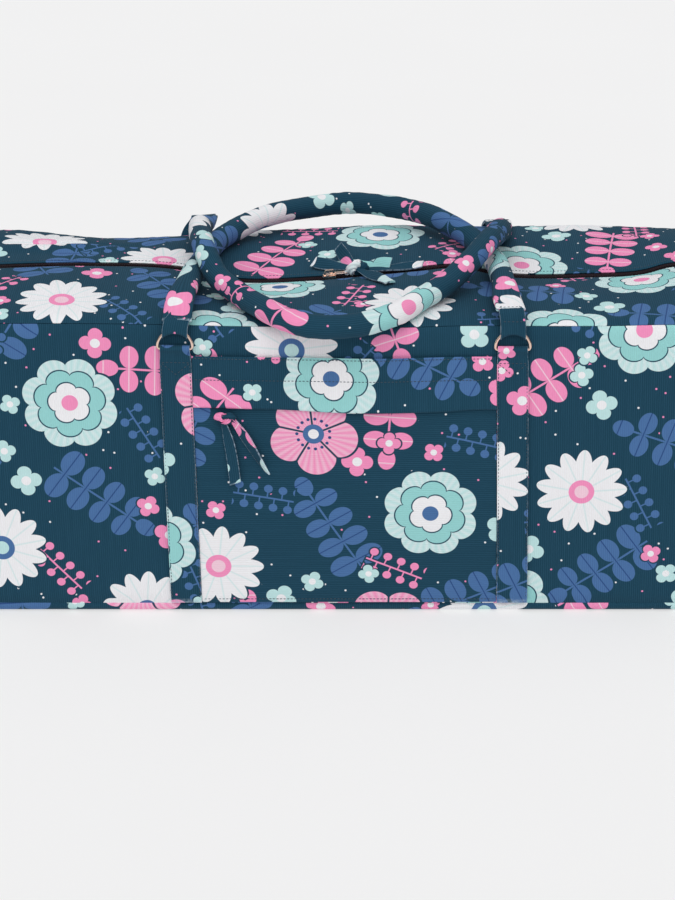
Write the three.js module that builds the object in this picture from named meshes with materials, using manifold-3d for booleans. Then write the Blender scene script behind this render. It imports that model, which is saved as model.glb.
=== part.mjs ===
// A long zip-top kit bag of printed canvas: a soft box of sewn panels with a zip along its top, a zipped front pocket
// between two straps, and two stuffed roll handles that wire rings hold to the straps.
// Millimetres, +Z up. The front faces -Y, and the origin is the middle of the base, on the surface the bag stands on.
import * as THREE from "three";
import { mergeVertices } from "three/addons/utils/BufferGeometryUtils.js";
import Module from "manifold-3d";

const wasm = await Module();
wasm.setup();
const { clamp, lerp, smoothstep } = THREE.MathUtils;

// Driving dimensions of the flat box that the panels are cut for
const LENGTH = 700;
const DEPTH = 270;
const HEIGHT = 262;
const CLOTH = 2;
const SEAM_GAP = 0.6;
const CELLS_ALONG = 24;
const CELLS_ACROSS = 10;
const CELLS_UP = 7;

// How the filled cloth leaves that box: swollen faces, rolled seams and a base that lifts at its rim
const SIDE_SWELL = 6;
const END_SWELL = 8;
const TOP_SWELL = 5;
const SEAM_PULL = 1.8;
const SEAM_ROLL = 15;
const BASE_LIFT = 8;
const BASE_ROLL = 9;
// The top of the filled bag lies this far aside of its base
const LEAN = -5.4;

// Heights of the top's front seam, zip and back seam, at distances along the bag from its middle. The zip dips where
// the handles press on it and rises in folds beside them.
const TOP_RAILS = [
  { along: -350, front: 263, zip: 272, back: 274.5 },
  { along: -300, front: 263, zip: 275, back: 275.5 },
  { along: -225, front: 263, zip: 277, back: 267 },
  { along: -143, front: 262, zip: 273, back: 270.5 },
  { along: -100, front: 261, zip: 262, back: 275 },
  { along: -25, front: 260, zip: 263, back: 278 },
  { along: 25, front: 259, zip: 268, back: 280.5 },
  { along: 65, front: 260, zip: 272, back: 280.5 },
  { along: 100, front: 261, zip: 275, back: 279 },
  { along: 148, front: 261, zip: 266, back: 280 },
  { along: 220, front: 261, zip: 266, back: 281 },
  { along: 265, front: 262, zip: 269, back: 279.5 },
  { along: 290, front: 262, zip: 276, back: 278 },
  { along: 350, front: 262, zip: 274, back: 276 },
];

// Zip in the top: the gap between the panels, the coil in it, and the tapes sewn under the panels' edges
const ZIP_GAP = 14;
const COIL = { halfWidth: 2.6, top: 1, bottom: 3.2 };
const TAPE = { outerEdge: 15, thick: 1, drop: 0.5 };

// Zip slider, its puller and the fabric strip tied to it, along the bag from the slider's place
const SLIDER = { along: -12, length: 12, width: 9, thick: 2.8, lift: 0.4 };
const BRIDGE = { length: 10, width: 2.6, rise: 5, holeLength: 6, holeRise: 3.4, seat: 0.2 };
const PULLER = { thick: 1, clear: 0.4, bar: 1.2, arm: 1, window: 5.4, web: 6, eye: 3 };
const PULL_LOOP = { radius: 2.1, tube: 0.8 };
const KNOT = { length: 6, width: 6, rise: 5.5 };

// Straps sewn up the front and back, each folded round a ring's bar at its top
const STRAP = {
  at: 141, width: 26, loopWidth: 24.4, thick: 1.5, foot: 2,
  barUp: 241, fold: 30, taper: 14, station: 42,
};
const WIRE_RADIUS = 1.3;
const WIRE_CLEAR = 0.35;
const RING = { halfWidth: 14.5, rise: 15.5, corner: 2.2, points: 20, sides: 6 };

// Front pocket: a panel between the straps whose mouth a stitched flap covers, and its zip's fabric pull
const POCKET = { thick: 1.6, mouth: 192, cells: [10, 6] };
const FLAP = { top: 234, bend: 212, lip: 187.5, lipOut: 4, steps: 10 };
const POCKET_ZIP = { thick: 0.6, rise: 9 };
const POCKET_PULL = { along: -101, up: 180, out: 6, knot: { across: 7, out: 3, rise: 5.5 } };
const POCKET_TAILS = [
  { start: -2, lean: 0.143, length: 62 },
  { start: 4, lean: 0.565, length: 60 },
];

// Ribbon strips of both pulls
const RIBBON = { width: 9.8, thick: 1.2, cell: 12 };
const PULL_TAILS = [
  { heading: 0, side: 1, length: 57 },
  { heading: 0.15, side: 5, length: 32 },
  { heading: -0.85, side: -1, length: 48 },
  { heading: 2.65, side: 4, length: 41 },
  { heading: 2.1, side: 3, length: 38 },
];

// Roll handles, with flat tabs that fold round the rings
const HANDLE = { radius: 10, sides: 10, steps: 49, taper: 40, restGap: 0.8 };
const TAB = { width: 21, thick: 1.2, rise: 22, fold: 8, sag: 4.6, tuck: 6 };

// Centre lines of the handles, from their left ring to their right one: how far along and out from the bag's middle
// each point lies, and its lift above a roll resting on the top there.
const FRONT_HANDLE_ROUTE = [
  { along: -142, out: -125, lift: 3 },
  { along: -138, out: -85, lift: 1 },
  { along: -134, out: -45, lift: 0 },
  { along: -127, out: 14, lift: 1 },
  { along: -115, out: 58, lift: 2 },
  { along: -91, out: 94, lift: 5 },
  { along: -73, out: 109, lift: 7 },
  { along: -45, out: 128, lift: 8 },
  { along: -3, out: 141, lift: 8 },
  { along: 39, out: 121, lift: 8 },
  { along: 57, out: 109, lift: 7 },
  { along: 75, out: 88, lift: 6 },
  { along: 92, out: 62, lift: 4 },
  { along: 109, out: 36, lift: 3 },
  { along: 118, out: 20, lift: 1.5 },
  { along: 128, out: -4, lift: 1 },
  { along: 131, out: -42, lift: 0 },
  { along: 132, out: -82, lift: 1 },
  { along: 132, out: -115, lift: 3 },
];
const BACK_HANDLE_ROUTE = [
  { along: -135, out: 118, lift: 4 },
  { along: -135, out: 85, lift: 5 },
  { along: -133, out: 30, lift: 18.5 },
  { along: -129, out: -14, lift: 23 },
  { along: -122.5, out: -55, lift: 19.5 },
  { along: -113, out: -75, lift: 8 },
  { along: -90, out: -104, lift: 1 },
  { along: -70, out: -133, lift: 1 },
  { along: -53, out: -153, lift: -1 },
  { along: -37, out: -159, lift: -4 },
  { along: -16, out: -159, lift: -5 },
  { along: 10, out: -152, lift: -4 },
  { along: 37, out: -138, lift: 0 },
  { along: 59, out: -114, lift: 1 },
  { along: 83, out: -89, lift: 3 },
  { along: 101, out: -65, lift: 10 },
  { along: 115, out: -40, lift: 18.5 },
  { along: 128.5, out: 0, lift: 23.5 },
  { along: 135, out: 30, lift: 17 },
  { along: 138, out: 70, lift: 2 },
  { along: 139, out: 118, lift: 1.5 },
];

const HALF_LENGTH = LENGTH / 2;
const HALF_DEPTH = DEPTH / 2;
const FRONT = -1;
const BACK = 1;

const CANVAS = new THREE.MeshStandardMaterial({ name: "canvas", color: 0x244a5c, roughness: 0.85, metalness: 0 });
const TAPE_CLOTH = new THREE.MeshStandardMaterial({ name: "zip", color: 0x35202a, roughness: 0.7, metalness: 0 });
const ROSE_GOLD = new THREE.MeshStandardMaterial({ name: "wire", color: 0xd9a48c, roughness: 0.25, metalness: 1 });

const kitBag = new THREE.Group();
kitBag.name = "yoga_kit_bag";

function add(name, geometry, material = CANVAS) {
  const mesh = new THREE.Mesh(geometry, material);
  mesh.name = name;
  kitBag.add(mesh);
  return mesh;
}

// Moves every vertex of a geometry by a function that changes the point it is given.
function reshape(geometry, move) {
  const places = geometry.getAttribute("position");
  const point = new THREE.Vector3();
  for (let i = 0; i < places.count; i += 1) {
    move(point.fromBufferAttribute(places, i));
    places.setXYZ(i, point.x, point.y, point.z);
  }
  geometry.computeVertexNormals();
  return geometry;
}

function solidOf(geometry) {
  const bare = geometry.clone();
  bare.deleteAttribute("normal");
  bare.deleteAttribute("uv");
  const merged = mergeVertices(bare, 1e-3);
  const vertProperties = merged.getAttribute("position").array;
  const triVerts = new Uint32Array(merged.index.array);
  return new wasm.Manifold(new wasm.Mesh({ numProp: 3, vertProperties, triVerts }));
}

function joined(geometries) {
  const whole = geometries.map(solidOf).reduce((sum, solid) => sum.add(solid)).getMesh();
  const geometry = new THREE.BufferGeometry();
  geometry.setAttribute("position", new THREE.BufferAttribute(whole.vertProperties, whole.numProp));
  geometry.setIndex(new THREE.BufferAttribute(whole.triVerts, 1));
  geometry.computeVertexNormals();
  return geometry;
}

// Height of the top's outer face, from smooth lines along its two seams and its zip.
const [frontRail, zipRail, backRail] = ["front", "zip", "back"].map((column) => {
  const places = TOP_RAILS.map((row) => row.along);
  const heights = TOP_RAILS.map((row) => row[column]);
  const line = new THREE.CubicInterpolant(places, heights, 1);
  return (along) => line.evaluate(clamp(along, -HALF_LENGTH, HALF_LENGTH))[0];
});

function bell(share) {
  return 4 * share * (1 - share);
}

function topHeight(along, out) {
  const fromZip = Math.min(1, Math.abs(out) / HALF_DEPTH);
  const seam = out < 0 ? frontRail(along) : backRail(along);
  return lerp(zipRail(along), seam, fromZip) + TOP_SWELL * bell(fromZip);
}

// 1 at a rim, falling smoothly to 0 at a distance from it.
function fade(distance, reach) {
  return clamp(1 - Math.max(0, distance) / reach, 0, 1) ** 2;
}

// Takes a point of the flat box to its place on the filled bag. Every sewn piece goes through here, so they nest.
function drape(point) {
  const along = point.x / HALF_LENGTH;
  const out = point.y / HALF_DEPTH;
  const up = point.z / HEIGHT;
  const toEnd = HALF_LENGTH - Math.abs(point.x);
  const toSide = HALF_DEPTH - Math.abs(point.y);
  const belly = bell(clamp(up, 0, 1));
  const levelRoll = fade(HEIGHT - point.z, SEAM_ROLL) + fade(point.z, SEAM_ROLL);
  const sideRoll = SEAM_PULL * (levelRoll + fade(toEnd, SEAM_ROLL)) * Math.abs(out) ** 8;
  const endRoll = SEAM_PULL * (levelRoll + fade(toSide, SEAM_ROLL)) * Math.abs(along) ** 16;
  const topRoll = SEAM_PULL * (fade(toSide, SEAM_ROLL) + fade(toEnd, SEAM_ROLL)) * Math.abs(up) ** 12;
  const rimLift = BASE_LIFT * (1 - (1 - fade(toEnd, BASE_ROLL)) * (1 - fade(toSide, BASE_ROLL)));
  const height = topHeight(point.x, point.y) - topRoll;
  const swollen = along * (HALF_LENGTH + END_SWELL * belly * Math.max(0, 1 - out ** 2));
  return point.set(
    swollen - Math.sign(along) * endRoll + LEAN * up,
    out * (HALF_DEPTH + SIDE_SWELL * belly * (1 - along ** 2)) - Math.sign(out) * sideRoll,
    lerp(rimLift, height, up),
  );
}

// A place between two edges, where only the edges themselves are taken in.
function between([start, end], share, startInset, endInset) {
  if (share <= 0) return start + startInset;
  if (share >= 1) return end - endInset;
  return lerp(start, end, share);
}

// The share of a row of cells in a cut whose first and last rows stand close to its edges, where the cloth turns.
function besideRim(share, cells, [start, end], rim) {
  if (share <= 0 || share >= 1 || rim === 0) return share;
  const edge = rim / (end - start);
  return lerp(edge, 1 - edge, (share * cells - 1) / (cells - 2));
}

// A cut of cloth in one face of the box, mitred against its neighbours. place gives the flat box's point from the
// distances along and across the cut and the depth below the outer face. zipEdge is the edge folded beside the zip,
// and rim is the distance from the edges at which the cloth turns up.
function clothPanel({ along, across, cells, place, zipEdge, rim = 0 }) {
  const blank = new THREE.BoxGeometry(1, 1, 1, ...cells, 1);
  return reshape(blank, (point) => {
    const share = point.clone().addScalar(0.5);
    const depth = CLOTH * (1 - share.z);
    const inset = SEAM_GAP / 2 + depth;
    const a = between(along, besideRim(share.x, cells[0], along, rim), inset, inset);
    const [startInset, endInset] = ["start", "end"].map((edge) => (edge === zipEdge ? ZIP_GAP / 2 : inset));
    const b = between(across, besideRim(share.y, cells[1], across, rim), startInset, endInset);
    drape(place(point, a, b, depth));
  });
}

// A plain strip in the flat box, from its three ranges, with its ends taken in.
function strip({ x, y, z, cells, endInset = 0 }) {
  const blank = new THREE.BoxGeometry(1, 1, 1, ...cells);
  return reshape(blank, (point) => {
    const share = point.clone().addScalar(0.5);
    point.set(between(x, share.x, endInset, endInset), lerp(...y, share.y), lerp(...z, share.z));
    drape(point);
  });
}

// The box's panels
const alongBag = [-HALF_LENGTH, HALF_LENGTH];
const acrossBag = [-HALF_DEPTH, HALF_DEPTH];
const upBag = [0, HEIGHT];
add("front_panel", clothPanel({
  along: alongBag,
  across: upBag,
  cells: [CELLS_ALONG, CELLS_UP],
  place: (point, a, b, depth) => point.set(a, depth - HALF_DEPTH, b),
}));
add("back_panel", clothPanel({
  along: alongBag,
  across: upBag,
  cells: [CELLS_ALONG, CELLS_UP],
  place: (point, a, b, depth) => point.set(-a, HALF_DEPTH - depth, b),
}));
add("base_panel", clothPanel({
  along: alongBag,
  across: acrossBag,
  cells: [CELLS_ALONG, CELLS_ACROSS],
  place: (point, a, b, depth) => point.set(a, -b, depth),
  rim: BASE_ROLL,
}));
add("end_panel_left", clothPanel({
  along: acrossBag,
  across: upBag,
  cells: [CELLS_ACROSS, CELLS_UP],
  place: (point, a, b, depth) => point.set(depth - HALF_LENGTH, -a, b),
}));
add("end_panel_right", clothPanel({
  along: acrossBag,
  across: upBag,
  cells: [CELLS_ACROSS, CELLS_UP],
  place: (point, a, b, depth) => point.set(HALF_LENGTH - depth, a, b),
}));
add("top_panel_front", clothPanel({
  along: alongBag,
  across: [-HALF_DEPTH, 0],
  cells: [CELLS_ALONG, CELLS_ACROSS / 2],
  place: (point, a, b, depth) => point.set(a, b, HEIGHT - depth),
  zipEdge: "end",
}));
add("top_panel_back", clothPanel({
  along: alongBag,
  across: [0, HALF_DEPTH],
  cells: [CELLS_ALONG, CELLS_ACROSS / 2],
  place: (point, a, b, depth) => point.set(a, b, HEIGHT - depth),
  zipEdge: "start",
}));

// The closed zip
const zipEndInset = CLOTH + SEAM_GAP;
const tapeTop = HEIGHT - CLOTH - TAPE.drop;
const tapeInner = COIL.halfWidth + SEAM_GAP;
add("zip_coil", strip({
  x: alongBag,
  y: [-COIL.halfWidth, COIL.halfWidth],
  z: [HEIGHT - COIL.bottom, HEIGHT - COIL.top],
  cells: [CELLS_ALONG, 1, 1],
  endInset: zipEndInset,
}), TAPE_CLOTH);
for (const [name, y] of [
  ["zip_tape_front", [-TAPE.outerEdge, -tapeInner]],
  ["zip_tape_back", [tapeInner, TAPE.outerEdge]],
]) {
  const z = [tapeTop - TAPE.thick, tapeTop];
  add(name, strip({ x: alongBag, y, z, cells: [CELLS_ALONG, 1, 1], endInset: zipEndInset }), TAPE_CLOTH);
}

// Flat outlines for the small pieces
function box2d(path, x0, y0, x1, y1) {
  return path.moveTo(x0, y0).lineTo(x1, y0).lineTo(x1, y1).lineTo(x0, y1);
}

function extruded(shape, depth, steps = 1, curveSegments = 6) {
  return new THREE.ExtrudeGeometry(shape, { depth, steps, curveSegments, bevelEnabled: false });
}

// Zip slider: a plate over the coil with a bridge for the puller
const plateBottom = HEIGHT - COIL.top + SLIDER.lift;
const plateTop = plateBottom + SLIDER.thick;
const plateOutline = new THREE.Shape();
plateOutline.moveTo(-SLIDER.length / 2, -SLIDER.width / 3);
plateOutline.lineTo(0, -SLIDER.width / 2);
plateOutline.lineTo(SLIDER.length / 2, -SLIDER.width / 2);
plateOutline.lineTo(SLIDER.length / 2, SLIDER.width / 2);
plateOutline.lineTo(0, SLIDER.width / 2);
plateOutline.lineTo(-SLIDER.length / 2, SLIDER.width / 3);
const plate = extruded(plateOutline, SLIDER.thick).translate(SLIDER.along, 0, plateBottom);
const bridgeOutline = new THREE.Shape();
bridgeOutline.moveTo(-BRIDGE.length / 2, -BRIDGE.seat);
bridgeOutline.lineTo(BRIDGE.length / 2, -BRIDGE.seat);
bridgeOutline.quadraticCurveTo(BRIDGE.length / 2, BRIDGE.rise, BRIDGE.holeLength / 2, BRIDGE.rise);
bridgeOutline.lineTo(-BRIDGE.holeLength / 2, BRIDGE.rise);
bridgeOutline.quadraticCurveTo(-BRIDGE.length / 2, BRIDGE.rise, -BRIDGE.length / 2, -BRIDGE.seat);
bridgeOutline.holes.push(box2d(new THREE.Path(), -BRIDGE.holeLength / 2, 0, BRIDGE.holeLength / 2, BRIDGE.holeRise));
const bridge = extruded(bridgeOutline, BRIDGE.width).translate(0, 0, -BRIDGE.width / 2);
bridge.rotateX(Math.PI / 2).translate(SLIDER.along, 0, plateTop);
add("zip_slider", reshape(joined([plate, bridge]), drape), ROSE_GOLD);

// Puller: a bar through the bridge, two arms past its leg, and an eye for the fabric strip
const pullerBottom = plateTop + PULLER.clear;
const windowHalf = BRIDGE.width / 2 + PULLER.clear;
const pullerHalf = windowHalf + PULLER.arm;
const windowStart = PULLER.bar / 2;
const eyeStart = windowStart + PULLER.window + PULLER.web;
const eyeEnd = eyeStart + PULLER.eye;
const pullerOutline = box2d(new THREE.Shape(), -PULLER.bar / 2, -pullerHalf, eyeEnd + PULLER.bar, pullerHalf);
const windowEnd = windowStart + PULLER.window;
pullerOutline.holes.push(box2d(new THREE.Path(), windowStart, -windowHalf, windowEnd, windowHalf));
const eyeHalf = PULL_LOOP.tube + PULLER.clear;
pullerOutline.holes.push(box2d(new THREE.Path(), eyeStart, -eyeHalf, eyeEnd, eyeHalf));
const puller = extruded(pullerOutline, PULLER.thick).translate(SLIDER.along, 0, pullerBottom);
add("zip_puller", reshape(puller, drape), ROSE_GOLD);

// Fabric strip tied through the eye: a loop, a knot and tails that lie on the top
const loopAlong = SLIDER.along + eyeEnd + PULLER.bar / 2;
const pullLoop = new THREE.TorusGeometry(PULL_LOOP.radius, PULL_LOOP.tube, 6, 10);
pullLoop.rotateX(Math.PI / 2).translate(loopAlong, 0, pullerBottom + PULLER.thick / 2);
const knotAlong = loopAlong + PULL_LOOP.radius + KNOT.length - PULL_LOOP.tube;
const knotUp = HEIGHT + HANDLE.restGap + KNOT.rise;
const knot = new THREE.SphereGeometry(1, 10, 8);
knot.scale(KNOT.length, KNOT.width, KNOT.rise).translate(knotAlong, 0, knotUp);
const tails = PULL_TAILS.map(({ heading, side, length }) => {
  const tail = new THREE.BoxGeometry(length, RIBBON.width, RIBBON.thick, Math.ceil(length / RIBBON.cell), 1, 1);
  tail.translate(length / 2, 0, HEIGHT + HANDLE.restGap + RIBBON.thick / 2);
  return tail.rotateZ(heading).translate(knotAlong, side, 0);
});
add("zip_pull", joined([pullLoop, knot, ...tails].map((piece) => reshape(piece, drape))));

// A section drawn outward from the front or back and up, run along the bag
function fromSection(geometry, face, centre, width, share = () => 1) {
  return reshape(geometry, (point) => {
    const across = (point.z - width / 2) * share(point.y);
    drape(point.set(centre + face * across, face * (HALF_DEPTH + point.x), point.y));
  });
}

// Straps: sewn flat from the base seam up, doubled near the top, and folded round the ring's bar
const loopInner = WIRE_RADIUS + WIRE_CLEAR;
const loopOuter = loopInner + STRAP.thick;
const loopOut = SEAM_GAP + loopOuter;
function strapSection() {
  const foldStart = STRAP.barUp - STRAP.fold;
  const stations = Math.ceil((foldStart - STRAP.foot) / STRAP.station);
  const rises = Array.from({ length: stations + 1 }, (_, i) => lerp(STRAP.foot, foldStart, i / stations));
  const section = new THREE.Shape();
  section.moveTo(SEAM_GAP, STRAP.foot);
  rises.forEach((rise) => section.lineTo(SEAM_GAP + STRAP.thick, rise));
  section.lineTo(SEAM_GAP + 2 * STRAP.thick, foldStart + STRAP.thick * 2);
  section.lineTo(SEAM_GAP + 2 * STRAP.thick, STRAP.barUp - STRAP.taper);
  section.absarc(loopOut, STRAP.barUp, loopOuter, -Math.PI / 5, Math.PI, false);
  rises.reverse().slice(0, -1).forEach((rise) => section.lineTo(SEAM_GAP, rise));
  const eye = new THREE.Path();
  eye.absarc(loopOut, STRAP.barUp, loopInner, 0, 2 * Math.PI, true);
  section.holes.push(eye);
  return section;
}

function strapShare(up) {
  const narrowing = smoothstep(up, STRAP.barUp - STRAP.taper, STRAP.barUp - loopOuter);
  return lerp(1, STRAP.loopWidth / STRAP.width, narrowing);
}

// Ring: bent wire with a straight bar in the strap and a bow above it
const ringOutline = new THREE.Path();
ringOutline.moveTo(RING.corner - RING.halfWidth, 0);
ringOutline.lineTo(RING.halfWidth - RING.corner, 0);
ringOutline.absarc(RING.halfWidth - RING.corner, RING.corner, RING.corner, -Math.PI / 2, 0, false);
ringOutline.absellipse(0, RING.corner, RING.halfWidth, RING.rise - RING.corner, 0, Math.PI, false);
ringOutline.absarc(RING.corner - RING.halfWidth, RING.corner, RING.corner, Math.PI, 1.5 * Math.PI, false);
const ringPoints = ringOutline.getSpacedPoints(RING.points).slice(0, -1);
const ringLine = new THREE.CatmullRomCurve3(ringPoints.map(({ x, y }) => new THREE.Vector3(x, 0, y)), true);

// Where a strap's loop holds the ring: its middle, turned to lie along the loop.
function ringFrame(face, side) {
  const [left, middle, right] = [-RING.halfWidth, 0, RING.halfWidth].map((across) => (
    drape(new THREE.Vector3(side * STRAP.at + across, face * (HALF_DEPTH + loopOut), STRAP.barUp))
  ));
  const turn = new THREE.Quaternion().setFromUnitVectors(new THREE.Vector3(1, 0, 0), right.sub(left).normalize());
  return new THREE.Matrix4().compose(middle, turn, new THREE.Vector3(1, 1, 1));
}

const faces = [["front", FRONT], ["back", BACK]];
const sides = [["left", -1], ["right", 1]];
for (const [faceName, face] of faces) {
  for (const [sideName, side] of sides) {
    const strap = extruded(strapSection(), STRAP.width, 2);
    const place = `${faceName}_${sideName}`;
    add(`strap_${place}`, fromSection(strap, face, side * STRAP.at, STRAP.width, strapShare));
    const wire = new THREE.TubeGeometry(ringLine, RING.points, WIRE_RADIUS, RING.sides, true);
    add(`ring_${place}`, wire.applyMatrix4(ringFrame(face, side)), ROSE_GOLD);
  }
}

// Pocket between the front straps
const pocketHalf = STRAP.at - STRAP.width / 2 - SEAM_GAP;
add("pocket_panel", strip({
  x: [-pocketHalf, pocketHalf],
  y: [-HALF_DEPTH - SEAM_GAP - POCKET.thick, -HALF_DEPTH - SEAM_GAP],
  z: [STRAP.foot, POCKET.mouth],
  cells: [POCKET.cells[0], 1, POCKET.cells[1]],
}));
add("pocket_zip", strip({
  x: [-pocketHalf, pocketHalf],
  y: [-HALF_DEPTH - SEAM_GAP - POCKET_ZIP.thick, -HALF_DEPTH - SEAM_GAP],
  z: [POCKET.mouth + SEAM_GAP, POCKET.mouth + SEAM_GAP + POCKET_ZIP.rise],
  cells: [POCKET.cells[0], 1, 1],
}), TAPE_CLOTH);
const flapOver = SEAM_GAP + POCKET.thick + SEAM_GAP;
const flapSection = new THREE.Shape();
flapSection.moveTo(SEAM_GAP, FLAP.top);
flapSection.lineTo(SEAM_GAP, FLAP.bend);
flapSection.lineTo(flapOver, POCKET.mouth + POCKET.thick);
flapSection.lineTo(FLAP.lipOut, FLAP.lip);
flapSection.lineTo(FLAP.lipOut + POCKET.thick, FLAP.lip);
flapSection.lineTo(flapOver + POCKET.thick, POCKET.mouth + POCKET.thick);
flapSection.lineTo(SEAM_GAP + POCKET.thick, FLAP.bend + POCKET.thick);
flapSection.lineTo(SEAM_GAP + POCKET.thick, FLAP.top);
const flap = extruded(flapSection, 2 * pocketHalf, FLAP.steps);
add("pocket_flap", fromSection(flap, FRONT, 0, 2 * pocketHalf));

// Pocket zip's fabric pull: a knot under the flap with two tails hanging on the pocket
const tailOut = flapOver + RIBBON.thick / 2;
const pocketKnot = new THREE.SphereGeometry(1, 10, 8);
const knotSize = POCKET_PULL.knot;
pocketKnot.scale(knotSize.across, knotSize.out, knotSize.rise);
pocketKnot.translate(POCKET_PULL.along, -HALF_DEPTH - POCKET_PULL.out, POCKET_PULL.up);
const pocketTails = POCKET_TAILS.map(({ start, lean, length }) => {
  const cells = Math.ceil(length / RIBBON.cell);
  const tail = new THREE.BoxGeometry(RIBBON.width, RIBBON.thick, length, 1, 1, cells);
  tail.translate(0, 0, -length / 2).rotateY(-lean);
  return tail.translate(POCKET_PULL.along + start, -HALF_DEPTH - tailOut, POCKET_PULL.up);
});
add("pocket_pull", joined([pocketKnot, ...pocketTails].map((piece) => reshape(piece, drape))));

// Handle tab: a band folded round the ring's bow and sewn to the roll
function tabSection() {
  const outer = loopInner + TAB.thick;
  const section = new THREE.Shape();
  section.moveTo(-outer, -TAB.sag);
  section.absarc(0, -TAB.sag, outer, Math.PI, 2 * Math.PI, false);
  section.lineTo(outer, loopInner);
  section.lineTo(TAB.thick, TAB.fold);
  section.lineTo(TAB.thick, TAB.rise);
  section.lineTo(-TAB.thick, TAB.rise);
  section.lineTo(-TAB.thick, TAB.fold);
  section.lineTo(-outer, loopInner);
  const eye = new THREE.Path();
  eye.absarc(0, -TAB.sag, loopInner, 0, -Math.PI, true);
  eye.absarc(0, 0, loopInner, Math.PI, 0, true);
  section.holes.push(eye);
  return section;
}

function handle(face, route) {
  const frames = [-1, 1].map((side) => ringFrame(face, side));
  const tabs = frames.map((frame) => reshape(extruded(tabSection(), TAB.width), (point) => {
    const across = point.z - TAB.width / 2;
    point.set(face * across, face * point.x, RING.rise + point.y).applyMatrix4(frame);
  }));
  const rest = (along, out) => topHeight(along - LEAN, out) + HANDLE.radius + HANDLE.restGap;
  const [start, end] = frames.map((frame) => {
    const root = new THREE.Vector3(0, 0, RING.rise + TAB.rise - TAB.tuck).applyMatrix4(frame);
    return root.setZ(root.z - rest(root.x, root.y));
  });
  const middle = route.map(({ along, out, lift }) => new THREE.Vector3(along, out, lift));
  const guide = new THREE.CatmullRomCurve3([start, ...middle, end], false, "centripetal");
  const laid = guide.getSpacedPoints(HANDLE.steps).map(({ x, y, z }) => new THREE.Vector3(x, y, rest(x, y) + z));
  const line = new THREE.CatmullRomCurve3(laid, false, "centripetal");
  const length = line.getLength();
  const roll = new THREE.CylinderGeometry(1, 1, 1, HANDLE.sides, HANDLE.steps);
  reshape(roll, (point) => {
    const share = clamp(point.y + 0.5, 0, 1);
    const centre = line.getPointAt(share);
    const ahead = line.getTangentAt(share);
    const inward = share < 0.5 ? -face : face;
    const heading = new THREE.Vector3(ahead.x, ahead.y + inward * ahead.z ** 2, 0).normalize();
    const level = heading.cross(new THREE.Vector3(0, 0, 1));
    const over = level.clone().cross(ahead).normalize();
    const stuffed = smoothstep(Math.min(share, 1 - share) * length, 0, HANDLE.taper);
    const halfWidth = lerp(TAB.width / 2, HANDLE.radius, stuffed);
    const halfThick = lerp(2 * TAB.thick, HANDLE.radius, stuffed);
    centre.addScaledVector(level, point.x * halfWidth).addScaledVector(over, point.z * halfThick);
    point.copy(centre);
  });
  return joined([roll, ...tabs]);
}
add("handle_front", handle(FRONT, FRONT_HANDLE_ROUTE));
add("handle_back", handle(BACK, BACK_HANDLE_ROUTE));

export default kitBag;
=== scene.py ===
import math

import bpy
import numpy as np
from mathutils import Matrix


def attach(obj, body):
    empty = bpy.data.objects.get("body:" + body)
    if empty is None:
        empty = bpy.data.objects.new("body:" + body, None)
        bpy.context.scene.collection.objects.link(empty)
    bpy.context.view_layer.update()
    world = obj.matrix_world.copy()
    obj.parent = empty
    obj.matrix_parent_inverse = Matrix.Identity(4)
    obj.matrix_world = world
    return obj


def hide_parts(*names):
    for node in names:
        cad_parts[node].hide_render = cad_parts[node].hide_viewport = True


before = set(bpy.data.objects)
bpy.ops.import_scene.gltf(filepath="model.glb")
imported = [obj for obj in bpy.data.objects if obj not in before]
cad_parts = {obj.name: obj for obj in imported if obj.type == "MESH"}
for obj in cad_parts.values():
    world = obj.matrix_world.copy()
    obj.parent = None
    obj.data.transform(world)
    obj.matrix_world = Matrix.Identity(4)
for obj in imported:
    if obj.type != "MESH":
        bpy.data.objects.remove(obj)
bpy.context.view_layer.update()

# Base panel. The bag is a soft box of printed cotton canvas, sewn along its edges and turned right side
# out. Its base is one long cut whose rim lifts off the floor. Every sewn piece is laid out on the flat box
# that it is cut for, and drape takes it to the filled bag, which leans to the left. Sizes are in millimetres.
MM = 0.001
HALF_LENGTH = 350.0
HALF_DEPTH = 135.0
HEIGHT = 262.0
CLOTH = 2.0
SEAM_GAP = 0.6
SIDE_SWELL = 6.0
END_SWELL = 8.0
TOP_SWELL = 5.0
SEAM_PULL = 1.8
SEAM_REACH = 15.0
BASE_LIFT = 8.0
BASE_REACH = 9.0
LEAN = -5.4

# Columns: along the bag, then the heights of the top's front seam, zip and back seam there
TOP_RAILS = np.array([
    (-350, 263, 272, 274.5),
    (-300, 263, 275, 275.5),
    (-225, 263, 277, 267),
    (-143, 262, 273, 270.5),
    (-100, 261, 262, 275),
    (-25, 260, 263, 278),
    (25, 259, 268, 280.5),
    (65, 260, 272, 280.5),
    (100, 261, 275, 279),
    (148, 261, 266, 280),
    (220, 261, 266, 281),
    (265, 262, 269, 279.5),
    (290, 262, 276, 278),
    (350, 262, 274, 276),
], float)


def smooth_line(at, knots, heights):
    """Heights of the smooth line through the knots."""
    at = np.clip(at, knots[0], knots[-1])
    steps = np.diff(knots)
    secants = np.diff(heights) / steps
    slopes = np.concatenate([secants[:1], (secants[:-1] + secants[1:]) / 2, secants[-1:]])
    i = np.clip(np.searchsorted(knots, at) - 1, 0, len(steps) - 1)
    p = (at - knots[i]) / steps[i]
    rise = (2 * p**3 - 3 * p**2 + 1) * heights[i] + (3 * p**2 - 2 * p**3) * heights[i + 1]
    lean = (p**3 - 2 * p**2 + p) * slopes[i] + (p**3 - p**2) * slopes[i + 1]
    return rise + lean * steps[i]


def bell(share):
    return 4 * share * (1 - share)


def fade(distance, reach):
    """1 at a rim, falling smoothly to 0 at a distance from it."""
    return np.clip(1 - np.maximum(0, distance) / reach, 0, 1) ** 2


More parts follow.
